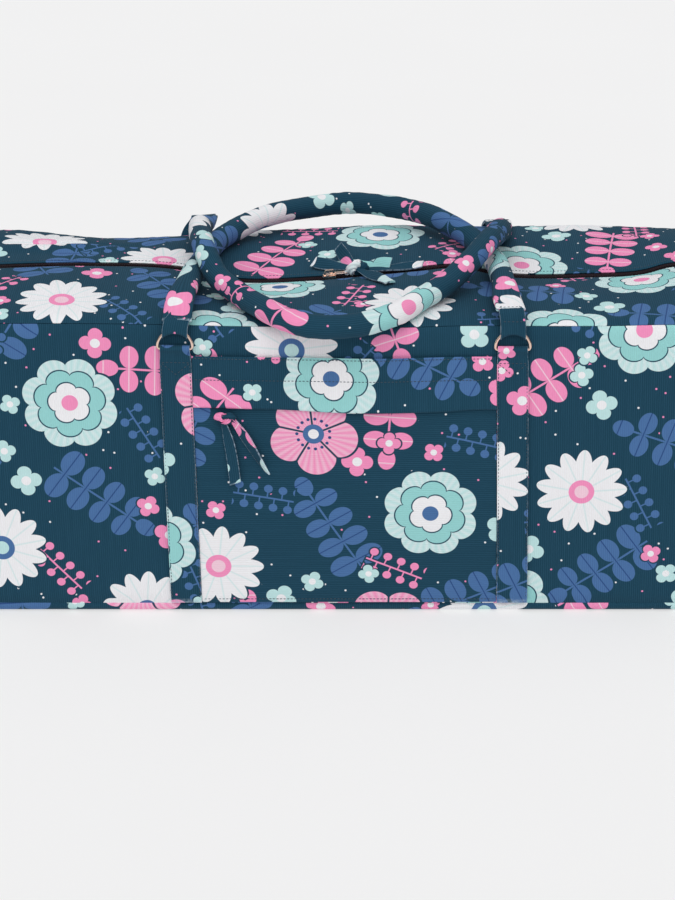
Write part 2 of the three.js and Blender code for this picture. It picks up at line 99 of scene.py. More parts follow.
def top_height(x, y):
    knots, front, middle, back = TOP_RAILS.T
    from_zip = np.minimum(1, np.abs(y) / HALF_DEPTH)
    seam = np.where(y < 0, smooth_line(x, knots, front), smooth_line(x, knots, back))
    zip_height = smooth_line(x, knots, middle)
    return zip_height + (seam - zip_height) * from_zip + TOP_SWELL * bell(from_zip)


def drape(x, y, z):
    """Takes points of the flat box to their places on the filled bag."""
    x, y, z = np.broadcast_arrays(*(np.asarray(side, float) for side in (x, y, z)))
    along, out, up = x / HALF_LENGTH, y / HALF_DEPTH, z / HEIGHT
    to_end, to_side = HALF_LENGTH - np.abs(x), HALF_DEPTH - np.abs(y)
    belly = bell(np.clip(up, 0, 1))
    level_roll = fade(HEIGHT - z, SEAM_REACH) + fade(z, SEAM_REACH)
    side_roll = SEAM_PULL * (level_roll + fade(to_end, SEAM_REACH)) * np.abs(out) ** 8
    end_roll = SEAM_PULL * (level_roll + fade(to_side, SEAM_REACH)) * np.abs(along) ** 16
    top_roll = SEAM_PULL * (fade(to_side, SEAM_REACH) + fade(to_end, SEAM_REACH)) * np.abs(up) ** 12
    rim_lift = BASE_LIFT * (1 - (1 - fade(to_end, BASE_REACH)) * (1 - fade(to_side, BASE_REACH)))
    height = top_height(x, y) - top_roll
    swollen = along * (HALF_LENGTH + END_SWELL * belly * np.maximum(0, 1 - out**2))
    return np.stack([
        swollen - np.sign(along) * end_roll + LEAN * up,
        out * (HALF_DEPTH + SIDE_SWELL * belly * (1 - along**2)) - np.sign(out) * side_roll,
        rim_lift + (height - rim_lift) * up,
    ], axis=-1)


# Rows of a cut lie closer together beside a seam, where the cloth turns in to it and gathers
ROLL_DEPTH = 1.6
ROLL_REACH = 7.0
EDGE_ROWS = np.array([0, 0.5, 1.1, 1.9, 3.0, 4.5, 6.5, 9.0])
SEWN = ROLL_DEPTH + SEAM_GAP / 2
PANEL_STEP = 4.5
RIM_IN = 0.4
RIM_TUCK = 2.6
CORNER_TUCK = 4.8
CORNER_REACH = 26.0
PUCKER_HEIGHT = 0.35
PUCKER_REACH = 30.0
PUCKER_START = 3.0
SMOOTH_ANGLE = math.radians(50)


def stations(start, end, step, start_inset=SEWN, end_inset=SEWN, edge_rows=EDGE_ROWS):
    """Places of the rows across a cut, from one seam to the other."""
    low, high = start + start_inset, end - end_inset
    reach = edge_rows[-1]
    count = max(1, round((high - low - 2 * reach) / step))
    middle = np.linspace(low + reach, high - reach, count + 1)
    return np.concatenate([low + edge_rows[:-1], middle, high - edge_rows[-2::-1]])


def turned_in(at, line):
    """How deep the cloth turns in beside the seams at both ends of a line of stations."""
    return ROLL_DEPTH * fade(np.minimum(at - line[0], line[-1] - at), ROLL_REACH)


def unevenness(a, b, seed, height, wave):
    """A smooth random field: a few plane waves of about one length."""
    draw = np.random.default_rng(seed)
    total = np.zeros(np.broadcast(a, b).shape)
    waves = 7
    for _ in range(waves):
        heading, phase = draw.uniform(0, 2 * math.pi, 2)
        length = wave * draw.uniform(0.7, 1.6)
        total += np.sin((a * math.cos(heading) + b * math.sin(heading)) * 2 * math.pi / length + phase)
    return height * total / math.sqrt(waves)


def puckers(along, from_seam, seed):
    """Small gathers that the thread pulls into the cloth beside a seam."""
    gather_rate, drift_rate, drift = 0.37, 0.09, 2.0
    phase = np.random.default_rng(seed).uniform(0, 6, 2)
    gathers = np.sin(along * gather_rate + drift * np.sin(along * drift_rate + phase[0]) + phase[1])
    return PUCKER_HEIGHT * gathers * fade(from_seam, PUCKER_REACH) * np.clip(from_seam / PUCKER_START, 0, 1)


def lay_on_bolt(mesh, flat, cut_from, quarter_turn=False):
    """The mesh's UV map in metres: where each point lay on the printed bolt before it was cut."""
    if quarter_turn:
        flat = np.stack([-flat[:, 1], flat[:, 0]], axis=-1)
    corners = np.empty(len(mesh.loops), np.int32)
    mesh.loops.foreach_get("vertex_index", corners)
    bolt = flat[corners] * MM + np.array(cut_from)
    mesh.uv_layers[0].data.foreach_set("uv", bolt.astype(np.float32).ravel())


def mark_worn(mesh, points):
    """Notes the points where the dye is rubbed off a fold or a cut edge."""
    worn = mesh.attributes.new("fold_wear", "FLOAT", "POINT")
    worn.data.foreach_set("value", points.astype(np.float32))


def shaped(name, spots):
    """The primitive just added, under its own name and with its points at spots in millimetres."""
    piece = bpy.context.object
    piece.name = name
    piece.data.name = name
    piece.data.vertices.foreach_set("co", (spots * MM).astype(np.float32).ravel())
    piece.data.update()
    return piece


def cloth_grid(name, us, vs, place, cut_from, quarter_turn=False):
    """A grid of cloth, with the flat points of its cut. From those, place gives its points on the bag."""
    bpy.ops.object.select_all(action="DESELECT")
    bpy.ops.mesh.primitive_grid_add(x_subdivisions=len(us) - 1, y_subdivisions=len(vs) - 1, size=1)
    u, v = (side.ravel() for side in np.meshgrid(us, vs))
    grid = shaped(name, place(u, v))
    lay_on_bolt(grid.data, np.stack([u, v], axis=-1), cut_from, quarter_turn)
    return grid, u, v


def cloth_cut(name, us, vs, place, thick, offset=-1.0, cut_from=(0, 0), quarter_turn=False, worn_edges=False):
    """A piece of cloth with a thickness, which may be worn along its edges."""
    cut, u, v = cloth_grid(name, us, vs, place, cut_from, quarter_turn)
    if worn_edges:
        mark_worn(cut.data, (u == us[0]) | (u == us[-1]) | (v == vs[0]) | (v == vs[-1]))
    bpy.ops.object.modifier_add(type="SOLIDIFY")
    wall = cut.modifiers[-1]
    wall.thickness = thick * MM
    wall.offset = offset
    bpy.ops.object.modifier_apply(modifier=wall.name)
    bpy.ops.object.shade_smooth_by_angle(angle=SMOOTH_ANGLE)
    return cut


def linear(red, green, blue):
    """A colour as the eye reads it, 0 to 255, as the light that it sends back."""
    shares = (value / 255 for value in (red, green, blue))
    return tuple(s / 12.92 if s <= 0.04045 else ((s + 0.055) / 1.055) ** 2.4 for s in shares) + (1.0,)


# Printed canvas: a dark teal ground with tossed flowers, sprigs and specks in pink, mint, white and blue
GROUND = linear(25, 66, 86)
BARE_THREAD = linear(95, 150, 185)
FLUFF = linear(176, 196, 212)
PINK = linear(255, 152, 198)
PALE_PINK = linear(255, 214, 229)
MINT = linear(200, 236, 235)
DEEP_MINT = linear(158, 219, 217)
WHITE = linear(251, 250, 252)
BLUE = linear(77, 115, 167)
DEEP_BLUE = linear(45, 76, 130)
PRINT_PITCH = 138.0
PRINT_SLANT = math.radians(27)
SPECK_PITCH = 17.0
SPECK_RADIUS = 0.9
RIB_PITCH = 1.8
PICK_SHARE = 0.35
SLUB_SHARE = 1.5
# Base and spread of the factor on the print's colour: uneven dye from the slubs, and painted shade along the
# ribs and picks
DYE = 0.92
RIB_SHADE_AND_DYE_UNEVENNESS = 0.035
BARE_SHARE = 0.12

# Shares of the motifs that have their first colour, and of the flowers that are daisies, or not poppies
BLUE_LEAVES = 0.74
BLUE_BERRIES = 0.7
PINK_BLOSSOMS = 0.4
DAISIES = 0.38
NO_POPPIES = 0.82

# Columns: size of a blossom, and the shift of its grid in pitches
BLOSSOMS = ((13.5, (9.0, 22.5)), (10.0, (9.2, 22.38)), (9.0, (40.36, 13.2)))


def new_finish(name):
    finish = bpy.data.materials.new(name)
    finish.use_nodes = True
    return finish, finish.node_tree, finish.node_tree.nodes["Principled BSDF"]


def join(tree, value, entry):
    """Feeds a field or a colour to an entry of a node, or sets the entry to a plain value."""
    if isinstance(value, Field):
        tree.links.new(value.socket, entry)
    elif isinstance(value, bpy.types.NodeSocket):
        tree.links.new(value, entry)
    else:
        entry.default_value = value


class Field:
    """A number that changes over a piece, worked out by the nodes of its finish."""

    def __init__(self, socket):
        self.socket = socket
        self.tree = socket.id_data

    def reckon(self, operation, *others, clamp=False):
        node = self.tree.nodes.new("ShaderNodeMath")
        node.operation = operation
        node.use_clamp = clamp
        for entry, value in zip(node.inputs, (self, *others)):
            join(self.tree, value, entry)
        return Field(node.outputs[0])

    def __add__(self, other):
        return self.reckon("ADD", other)

    def __sub__(self, other):
        return self.reckon("SUBTRACT", other)

    def __rsub__(self, other):
        return self.reckon("MULTIPLY_ADD", -1.0, other)

    def __mul__(self, other):
        return self.reckon("MULTIPLY", other)

    def __abs__(self):
        return self.reckon("ABSOLUTE")

    def above(self, limit):
        return self.reckon("GREATER_THAN", limit)


def parts_of(socket, kind):
    """The three numbers of a vector or a colour."""
    node = socket.id_data.nodes.new(kind)
    socket.id_data.links.new(socket, node.inputs[0])
    return [Field(part) for part in node.outputs]


def ink(mask, below, above):
    """One colour printed over another where the mask is 1."""
    node = mask.tree.nodes.new("ShaderNodeMix")
    node.data_type = "RGBA"
    for entry, value in zip((node.inputs[0], node.inputs[6], node.inputs[7]), (mask, below, above)):
        join(mask.tree, value, entry)
    return node.outputs[2]


def crisp(inside):
    """The printed edge of a shape: 1 inside it, 0 outside, from millimetres inside its outline."""
    return inside.reckon("MULTIPLY_ADD", 3.0, 0.5, clamp=True)


def printed(colour, shape, tint, halo):
    """A motif printed over what lies there, with a rim of the ground's colour round it."""
    cleared = ink(crisp(shape + halo), colour, GROUND)
    return ink(crisp(shape), cleared, tint)


def turned(vector, angle):
    """A vector turned in the plane of the cloth."""
    node = vector.id_data.nodes.new("ShaderNodeVectorRotate")
    node.rotation_type = "Z_AXIS"
    join(vector.id_data, vector, node.inputs["Vector"])
    join(vector.id_data, angle, node.inputs["Angle"])
    return node.outputs[0]


def vector_math(vector, operation, other):
    node = vector.id_data.nodes.new("ShaderNodeVectorMath")
    node.operation = operation
    join(vector.id_data, vector, node.inputs[0])
    join(vector.id_data, other, node.inputs[1])
    return node.outputs[0]


def tossed(cloth, pitch, jitter, shift):
    """A motif's own x and y, turned at random about its place on a grid, and two random numbers."""
    moved = vector_math(cloth, "ADD", (shift[0] * pitch, shift[1] * pitch, 0))
    cells = cloth.id_data.nodes.new("ShaderNodeTexVoronoi")
    cells.voronoi_dimensions = "2D"
    cells.inputs["Scale"].default_value = 1 / pitch
    cells.inputs["Randomness"].default_value = jitter
    join(cloth.id_data, moved, cells.inputs["Vector"])
    lots = parts_of(cells.outputs["Color"], "ShaderNodeSeparateColor")
    away = vector_math(moved, "SUBTRACT", cells.outputs["Position"])
    x, y, _ = parts_of(turned(away, lots[0] * (2 * math.pi)), "ShaderNodeSeparateXYZ")
    return x, y, lots[1], lots[2]


def cloudy(vector, scale, detail):
    """A smooth random field from 0 to 1, with its own scale each way."""
    noise = vector.id_data.nodes.new("ShaderNodeTexNoise")
    noise.inputs["Scale"].default_value = 1.0
    noise.inputs["Detail"].default_value = detail
    join(vector.id_data, vector_math(vector, "MULTIPLY", scale), noise.inputs["Vector"])
    return Field(noise.outputs[0])


def distance(x, y):
    return (x * x + y * y).reckon("SQRT")


def off_axis(angle, count):
    """0 in the middle of each of so many petals, and 0.5 between them."""
    part = angle.reckon("MULTIPLY_ADD", count / (2 * math.pi), 8.0).reckon("FRACT")
    return abs(part - 0.5)


def scallop(angle, count, radius, depth):
    """Outline radius of a flower with so many round petals."""
    hump = (off_axis(angle, count) * math.pi).reckon("COSINE").reckon("POWER", 0.6)
    return hump.reckon("MULTIPLY_ADD", radius * depth, radius * (1 - depth))


def daisy(reach, angle, lot):
    """Long narrow white petals round a pink or blue eye."""
    petals, tip, root, half_width = 13, 39.0, 8.0, 7.4
    eye_radius, heart_radius = 11.0, 6.0
    blue_eyed = lot.above(0.5)
    aside = off_axis(angle, petals) * (2 * math.pi / petals) * reach
    share = (reach - root).reckon("MULTIPLY", 1 / (tip - root), clamp=True)
    width = ((1 - share) * share).reckon("SQRT") * (2 * half_width)
    petal = (width - aside).reckon("MINIMUM", tip - reach)
    eye = eye_radius - reach
    vein = (1 - aside * 0.9).reckon("MULTIPLY", 0.55, clamp=True)
    tint = ink(crisp(eye), ink(vein, WHITE, MINT), ink(blue_eyed, PINK, BLUE))
    tint = ink(crisp(heart_radius - reach), tint, ink(blue_eyed, PALE_PINK, MINT))
    return petal.reckon("MAXIMUM", eye), tint


def rosette(reach, angle, lot):
    """Rings of round mint petals, one in another."""
    halo, ray_count, eye_radius = 1.2, 40, 7.0
    outer = scallop(angle, 8, 41.0, 0.18)
    middle = scallop(angle, 7, 30.0, 0.2)
    inner = scallop(angle, 5, 18.0, 0.24)
    rays = (0.5 - off_axis(angle, ray_count)) * 0.9
    tint = ink(rays, MINT, WHITE)
    tint = printed(tint, middle - reach, DEEP_MINT, halo)
    tint = printed(tint, inner - reach, WHITE, halo)
    tint = ink(crisp(eye_radius - reach), tint, ink(lot.above(0.4), BLUE, PINK))
    return outer - reach, tint


def poppy(reach, angle, lot):
    """Five broad pink petals with pale veins, round a blue heart ringed with specks."""
    petals, veins, heart_radius, eye_radius = 5, 35, 9.0, 4.5
    specks, speck_ring, speck_radius = 15, 14.0, 1.4
    outline = scallop(angle, petals, 38.0, 0.3)
    tint = ink((0.5 - off_axis(angle, veins)) * 1.4, PINK, PALE_PINK)
    split = (0.5 - off_axis(angle, petals)) * reach
    tint = ink(crisp(0.7 - split), tint, GROUND)
    from_speck = distance(off_axis(angle, specks) * (2 * math.pi / specks) * reach, reach - speck_ring)
    tint = ink(crisp(speck_radius - from_speck), tint, DEEP_BLUE)
    tint = ink(crisp(heart_radius - reach), tint, ink(lot.above(0.5), BLUE, DEEP_BLUE))
    tint = ink(crisp(eye_radius - reach), tint, WHITE)
    return outline - reach, tint


def leaf_sprig(x, y):
    """Pairs of round leaves on a straight stem, with one at its tip, and the leaves' midribs."""
    half_stem, pair, middle_leaf, shrink, tip_leaf = 43.2, 21.6, 8.4, 0.55, 7.4
    aside = abs(y)
    leaf = (x * (1 / pair)).reckon("FLOOR").reckon("MULTIPLY_ADD", -shrink, middle_leaf)
    along = (x.reckon("MULTIPLY_ADD", 1 / pair, 8.0).reckon("FRACT") - 0.5) * pair
    across = (aside - leaf.reckon("MULTIPLY_ADD", 1.25, 1.0)) * 0.78
    blade = leaf - distance(along, across)
    shape = blade.reckon("MAXIMUM", 0.9 - aside).reckon("MINIMUM", half_stem - abs(x))
    tip = tip_leaf - distance((x - half_stem - tip_leaf) * 0.8, y)
    return shape.reckon("MAXIMUM", tip), 0.5 - abs(along)


def berry_sprig(x, y):
    """Berries on short stalks, by turns on either side of a stem."""
    half_stem, pitch, stalk_length, berry_radius = 26.0, 12.5, 8.5, 3.7
    aside = abs(y)
    by_turns = y.reckon("SIGN").reckon("MULTIPLY_ADD", 0.25, 8.0)
    along = ((x * (1 / pitch) + by_turns).reckon("FRACT") - 0.5) * pitch
    across = aside - stalk_length
    berry = berry_radius - distance(along, across)
    stalk = (0.6 - abs(along)).reckon("MINIMUM", 0.0 - across)
    shape = berry.reckon("MAXIMUM", stalk).reckon("MAXIMUM", 0.8 - aside)
    return shape.reckon("MINIMUM", half_stem - abs(x))


def print_colour(cloth):
    """The print's colour over the cloth, laid down in the order of the inks."""
    x, y, kind, _ = tossed(cloth, SPECK_PITCH, 1.0, (3, 5))
    left_out = kind.reckon("LESS_THAN", 0.5)
    speck = SPECK_RADIUS - distance(x, y) - left_out * 9.0
    colour = ink(crisp(speck), GROUND, ink(kind.above(0.75), WHITE, PINK))

    x, y, _, lot = tossed(cloth, PRINT_PITCH, 0.12, (12.5, 7.5))
    leaves, midribs = leaf_sprig(x, y)
    pink_one = lot.above(BLUE_LEAVES)
    leaf_tint = ink(crisp(midribs), ink(pink_one, BLUE, PINK), ink(pink_one, DEEP_BLUE, PALE_PINK))
    colour = printed(colour, leaves, leaf_tint, 1.6)

    x, y, _, lot = tossed(cloth, PRINT_PITCH, 0.15, (31.5, 4.0))
    colour = printed(colour, berry_sprig(x, y), ink(lot.above(BLUE_BERRIES), BLUE, PINK), 1.4)

    for size, shift in BLOSSOMS:
        x, y, _, lot = tossed(cloth, PRINT_PITCH, 0.15, shift)
        reach = distance(x, y)
        blossom = scallop(y.reckon("ARCTAN2", x), 4, size, 0.45) - reach
        petal_tint = ink(lot.above(PINK_BLOSSOMS), PINK, MINT)
        blossom_tint = ink(crisp(0.31 * size - reach), petal_tint, WHITE)
        colour = printed(colour, blossom, blossom_tint, 1.4)

    x, y, kind, lot = tossed(cloth, PRINT_PITCH, 0.2, (0.0, 0.0))
    reach = distance(x, y)
    angle = y.reckon("ARCTAN2", x)
    flower, flower_tint = daisy(reach, angle, lot)
    for share, motif in ((DAISIES, rosette), (NO_POPPIES, poppy)):
        chosen = kind.above(share)
        shape, tint = motif(reach, angle, lot)
        flower = (shape - flower) * chosen + flower
        flower_tint = ink(chosen, flower_tint, tint)
    return printed(colour, flower, flower_tint, 2.0)


def printed_canvas():
    """Ribbed cotton canvas: uneven dye with painted shade along the ribs, bare thread on the ribs, and pale
    fluff on rubbed edges.
    """
    finish, tree, surface = new_finish("printed_canvas")
    bolt = tree.nodes.new("ShaderNodeUVMap")
    cloth = vector_math(bolt.outputs[0], "MULTIPLY", (1 / MM, 1 / MM, 1 / MM))
    slub = cloudy(cloth, (0.35, 0.35, 0.0), 3.0)
    yarn = cloudy(cloth, (0.7, 0.02, 0.0), 2.0)
    across, along, _ = parts_of(cloth, "ShaderNodeSeparateXYZ")
    rib = (across * (2 * math.pi / RIB_PITCH)).reckon("SINE")
    pick = (along * (4 * math.pi / RIB_PITCH)).reckon("SINE")
    weave = rib + pick * PICK_SHARE + slub * SLUB_SHARE
    # The print times a factor that follows the weave: uneven dye from the slubs, and painted shade along the
    # ribs and picks
    dyed_and_rib_shaded = tree.nodes.new("ShaderNodeMix")
    dyed_and_rib_shaded.data_type = "RGBA"
    dyed_and_rib_shaded.blend_type = "MULTIPLY"
    dyed_and_rib_shaded.inputs[0].default_value = 1.0
    join(tree, print_colour(turned(cloth, PRINT_SLANT)), dyed_and_rib_shaded.inputs[6])
    join(tree, weave.reckon("MULTIPLY_ADD", RIB_SHADE_AND_DYE_UNEVENNESS, DYE), dyed_and_rib_shaded.inputs[7])
    ridges = rib.reckon("MULTIPLY_ADD", 0.5, 0.5) * yarn
    threads = ink(ridges * BARE_SHARE, dyed_and_rib_shaded.outputs[2], BARE_THREAD)
    fold = tree.nodes.new("ShaderNodeAttribute")
    fold.attribute_name = "fold_wear"
    fluff = Field(fold.outputs["Fac"]) * slub.reckon("MULTIPLY_ADD", 2.4, -0.75, clamp=True)
    join(tree, ink(fluff, threads, FLUFF), surface.inputs["Base Color"])
    relief = tree.nodes.new("ShaderNodeBump")
    relief.inputs["Strength"].default_value = 0.5
    relief.inputs["Distance"].default_value = 0.15 * MM
    join(tree, weave, relief.inputs["Height"])
    tree.links.new(relief.outputs[0], surface.inputs["Normal"])
    surface.inputs["Roughness"].default_value = 0.85
    surface.inputs["Sheen Weight"].default_value = 0.03
    surface.inputs["Specular IOR Level"].default_value = 0.12
    return finish


canvas = printed_canvas()


def finish_piece(piece, finish, slot, *nodes):
    """Gives a piece its finish, attaches it to the root body, and hides the solids of the frame that it
    stands for.
    """
    piece.data.materials.clear()
    piece.data.materials.append(finish)
    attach(piece, "root")
    if nodes:
        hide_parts(*nodes)


RIM_ARC = BASE_LIFT * math.pi / 2
RIM_SPARE = RIM_ARC - BASE_LIFT
base_along = stations(-HALF_LENGTH - RIM_SPARE, HALF_LENGTH + RIM_SPARE, PANEL_STEP, 0, 0)
base_across = stations(-HALF_DEPTH - RIM_SPARE, HALF_DEPTH + RIM_SPARE, PANEL_STEP, 0, 0)


def rim(at, line):
    """Place and lift of the base's cloth along one way: flat on the floor, rounded up to the seams."""
    from_seam = line[-1] - np.abs(at)
    turn = np.clip(from_seam / BASE_LIFT, 0, math.pi / 2)
    tuck = RIM_TUCK * fade(from_seam, ROLL_REACH)
    inset = BASE_LIFT * (1 - np.cos(turn)) + np.maximum(0, from_seam - RIM_ARC) + tuck
    return np.sign(at) * (line[-1] - RIM_SPARE - RIM_IN - inset), 1 - np.sin(turn)


def base_place(a, b):
    x, lift_along = rim(a, base_along)
    y, lift_across = rim(b, base_across)
    lift = (BASE_LIFT + SEWN / 2) * (1 - (1 - lift_along) * (1 - lift_across))
    near_end = fade(base_along[-1] - np.abs(a), CORNER_REACH)
    near_side = fade(base_across[-1] - np.abs(b), CORNER_REACH)
    tuck = CORNER_TUCK * near_end * near_side
    return np.stack([x - np.sign(a) * tuck, np.sign(b) * tuck - y, lift], axis=-1)


base = cloth_cut("base_panel_cloth", base_along, base_across, base_place, CLOTH, cut_from=(3.1, 0.4))
finish_piece(base, canvas, "canvas", "base_panel")

# Front, back and end panels. Upright cuts of the same canvas, swollen by what the bag holds, with the ribs
# of the weave upright and small gathers along the seams to the base and the top.
PANEL_RELIEF = 0.7
PANEL_WAVE = 110.0
PANEL_CALM = 40.0

along_bag = stations(-HALF_LENGTH, HALF_LENGTH, PANEL_STEP)
across_bag = stations(-HALF_DEPTH, HALF_DEPTH, PANEL_STEP)
up_bag = stations(0, HEIGHT, PANEL_STEP)


def panel_relief(a, b, line_a, line_b, seed):
    """How far the cloth stands out of its smooth form."""
    inside = np.clip(np.minimum(b - line_b[0], line_b[-1] - b) / PANEL_CALM, 0, 1)
    seams = puckers(a, b - line_b[0], seed) + puckers(a, line_b[-1] - b, seed + 1)
    ends = puckers(b, a - line_a[0], seed + 2) + puckers(b, line_a[-1] - a, seed + 3)
    return unevenness(a, b, seed, PANEL_RELIEF, PANEL_WAVE) * inside + seams + ends


def upright_panel(name, line_a, flat, seed, cut_from):
    def place(a, b):
        depth = turned_in(a, line_a) + turned_in(b, up_bag) - panel_relief(a, b, line_a, up_bag, seed)
        return drape(*flat(a, b, depth))
    panel = cloth_cut(name + "_cloth", line_a, up_bag, place, CLOTH, cut_from=cut_from)
    finish_piece(panel, canvas, "canvas", name)


upright_panel("front_panel", along_bag, lambda a, b, d: (a, d - HALF_DEPTH, b), 11, (0.5, 0.0))
upright_panel("back_panel", along_bag, lambda a, b, d: (-a, HALF_DEPTH - d, b), 21, (1.4, 0.3))
upright_panel("end_panel_left", across_bag, lambda a, b, d: (d - HALF_LENGTH, -a, b), 31, (2.1, 0.0))
upright_panel("end_panel_right", across_bag, lambda a, b, d: (HALF_LENGTH - d, a, b), 41, (2.6, 0.0))

# Top panels. Two long cuts, sewn to the front and back, whose inner edges are folded under and sewn beside
# the zip. They sag and crease softly between the seams and the zip. Beyond the left handle a fold stands up
# in the back one, with a furrow behind it.
ZIP_HALF_GAP = 7.0
ZIP_FOLD = 0.9
TOP_RELIEF = 0.9
TOP_WAVE = 75.0
TOP_CALM = 35.0
ZIP_FOLD_REACH = 2.5
FOLD_START = -330.0
FOLD_END = -165.0
FOLD_OUT = 47.0
FOLD_REACH = 10.0
FOLD_HEIGHT = 4.5
FURROW_SHARE = 1.2
FURROW_AT = 1.6


def standing_fold(a, b):
    """Height of the fold and depth of its furrow, which both run out at their ends."""
    span = bell(np.clip((a - FOLD_START) / (FOLD_END - FOLD_START), 0, 1))
    across = (b - FOLD_OUT) / FOLD_REACH
    furrow = FURROW_SHARE * np.exp(-(across - FURROW_AT) ** 2)
    return FOLD_HEIGHT * span * (np.exp(-across**2) - furrow)


def top_panel(name, side, seed, cut_from):
    across = stations(ZIP_HALF_GAP, HALF_DEPTH, PANEL_STEP, start_inset=0.0)
    if side < 0:
        across = -across[::-1]

    def place(a, b):
        to_zip = np.abs(b) - ZIP_HALF_GAP
        to_seam = np.abs(across).max() - np.abs(b)
        fold = ZIP_FOLD * fade(to_zip, ZIP_FOLD_REACH)
        roll = ROLL_DEPTH * fade(to_seam, ROLL_REACH)
        calm = np.clip(np.minimum(to_zip, to_seam) / TOP_CALM, 0, 1)
        creases = unevenness(a, b, seed, TOP_RELIEF, TOP_WAVE) * calm + puckers(a, to_seam, seed + 1)
        relief = creases + standing_fold(a, b) - fold - roll
        return drape(a, b, HEIGHT - turned_in(a, along_bag) + relief)
    panel = cloth_cut(name + "_cloth", along_bag, across, place, CLOTH, cut_from=cut_from)
    finish_piece(panel, canvas, "canvas", name)


top_panel("top_panel_front", -1, 51, (0.2, 0.9))
top_panel("top_panel_back", 1, 61, (1.1, 0.9))

# Stitching. Rows of dark teal thread, one bead of thread for each stitch, half sunk in the cloth. A row
# follows points on the bag and leans out of the face that it is sewn on.
STITCH_LENGTH = 2.4
STITCH_PITCH = 3.1
THREAD_RADIUS = 0.34
DARK_THREAD = linear(36, 54, 68)
THREAD = linear(70, 88, 102)


def mottled(name, dark, light, grain_scale, roughness):
    """A plain finish of two close shades, mottled at the scale of its grain."""
    finish, tree, surface = new_finish(name)
    where = tree.nodes.new("ShaderNodeTexCoord")
    noise = tree.nodes.new("ShaderNodeTexNoise")
    noise.inputs["Scale"].default_value = grain_scale
    noise.inputs["Detail"].default_value = 4.0
    tree.links.new(where.outputs["Object"], noise.inputs["Vector"])
    grain = Field(noise.outputs[0])
    join(tree, ink(grain, dark, light), surface.inputs["Base Color"])
    join(tree, grain.reckon("MULTIPLY_ADD", 0.2, roughness - 0.1), surface.inputs["Roughness"])
    return finish, surface


def unit(vectors):
    return vectors / np.linalg.norm(vectors, axis=-1, keepdims=True)


def lengths_along(points):
    """Distances along a line of points, from its start."""
    return np.concatenate([[0], np.cumsum(np.linalg.norm(np.diff(points, axis=0), axis=1))])


def points_at(distances, run, points):
    """Points at given distances along a line of points."""
    return np.stack([np.interp(distances, run, side) for side in points.T], axis=-1)


def copied_over(name, model, places):
    """One mesh of many copies of a small model, each at its own 4x4 place."""
    points = np.array([tuple(v.co) for v in model.data.vertices])
    faces = sorted(tuple(p.vertices) for p in model.data.polygons)
    about_middle = sum(places[:, None, :3, k] * points[:, k, None] for k in range(3))
    spots = about_middle + places[:, None, :3, 3]
    rings = [tuple(i + n * len(points) for i in face) for n in range(len(places)) for face in faces]
    mesh = bpy.data.meshes.new(name)
    mesh.from_pydata(spots.reshape(-1, 3).tolist(), [], rings)
    mesh.update()
    bpy.data.objects.remove(model)
    piece = bpy.data.objects.new(name, mesh)
    bpy.context.collection.objects.link(piece)
    bpy.ops.object.select_all(action="DESELECT")
    piece.select_set(True)
    bpy.context.view_layer.objects.active = piece
    bpy.ops.object.shade_smooth()
    return piece


def bead(segments, rings, half_sizes):
    """A small rounded body to copy, at the origin."""
    bpy.ops.object.select_all(action="DESELECT")
    bpy.ops.mesh.primitive_uv_sphere_add(segments=segments, ring_count=rings, radius=MM)
    body = bpy.context.object
    bpy.ops.transform.resize(value=half_sizes)
    bpy.ops.object.transform_apply(location=False, rotation=False, scale=True)
    return body


def stitch_places(row, outward):
    """Places of the stitches along a row of points on the bag, in millimetres."""
    run = lengths_along(row)
    count = max(1, int(run[-1] / STITCH_PITCH))
    middles = (np.arange(count) + 0.5) * run[-1] / count
    forward = unit(points_at(middles + 0.5, run, row) - points_at(middles - 0.5, run, row))
    aside = unit(np.cross(np.broadcast_to(outward, forward.shape), forward))
    places = np.tile(np.eye(4), (count, 1, 1))
    places[:, :3, :3] = np.stack([forward, aside, np.cross(forward, aside)], axis=-1)
    places[:, :3, 3] = points_at(middles, run, row) * MM
    return places


thread, _ = mottled("teal_thread", DARK_THREAD, THREAD, 2500.0, 0.6)


def sew(name, rows):
    """A piece of stitching from rows of (points on the bag, outward direction)."""
    places = np.concatenate([stitch_places(row, outward) for row, outward in rows])
    stitch = bead(6, 4, (STITCH_LENGTH / 2, THREAD_RADIUS, THREAD_RADIUS))
    finish_piece(copied_over(name, stitch, places), thread, "canvas")


ZIP_STITCH_OUT = 3.0
ZIP_STITCH_END = HALF_LENGTH - 8
zip_run = np.linspace(-ZIP_STITCH_END, ZIP_STITCH_END, 500)
zip_line = ZIP_HALF_GAP + ZIP_STITCH_OUT
sew("zip_stitching", [(drape(zip_run, side * zip_line, HEIGHT), (0, 0, 1)) for side in (-1, 1)])

# Zip. Two dark maroon woven tapes under the folded edges, each with half of a nylon coil whose turns mesh
# along the middle and stand level with the cloth. The zip is closed from end to end.
TAPE_OUT = np.array([1.6, 2.6, 3.6, 4.6, 5.6, 6.4, 7.2, 9.0, 12.0, 15.0])
TAPE_TOP = HEIGHT - CLOTH - 0.5
TAPE_RISE = 1.4
TAPE_RAMP = 1.2
TAPE_THICK = 1.0
COIL_HALF = 2.6
COIL_PITCH = 1.5
TURN_HALF_SIZES = (0.52, COIL_HALF / 2 + 0.35, 0.95)
COIL_MIDDLE = HEIGHT - 0.8
ZIP_END = HALF_LENGTH - 2.8
MAROON = linear(37, 17, 27)
DARK_MAROON = linear(20, 9, 15)

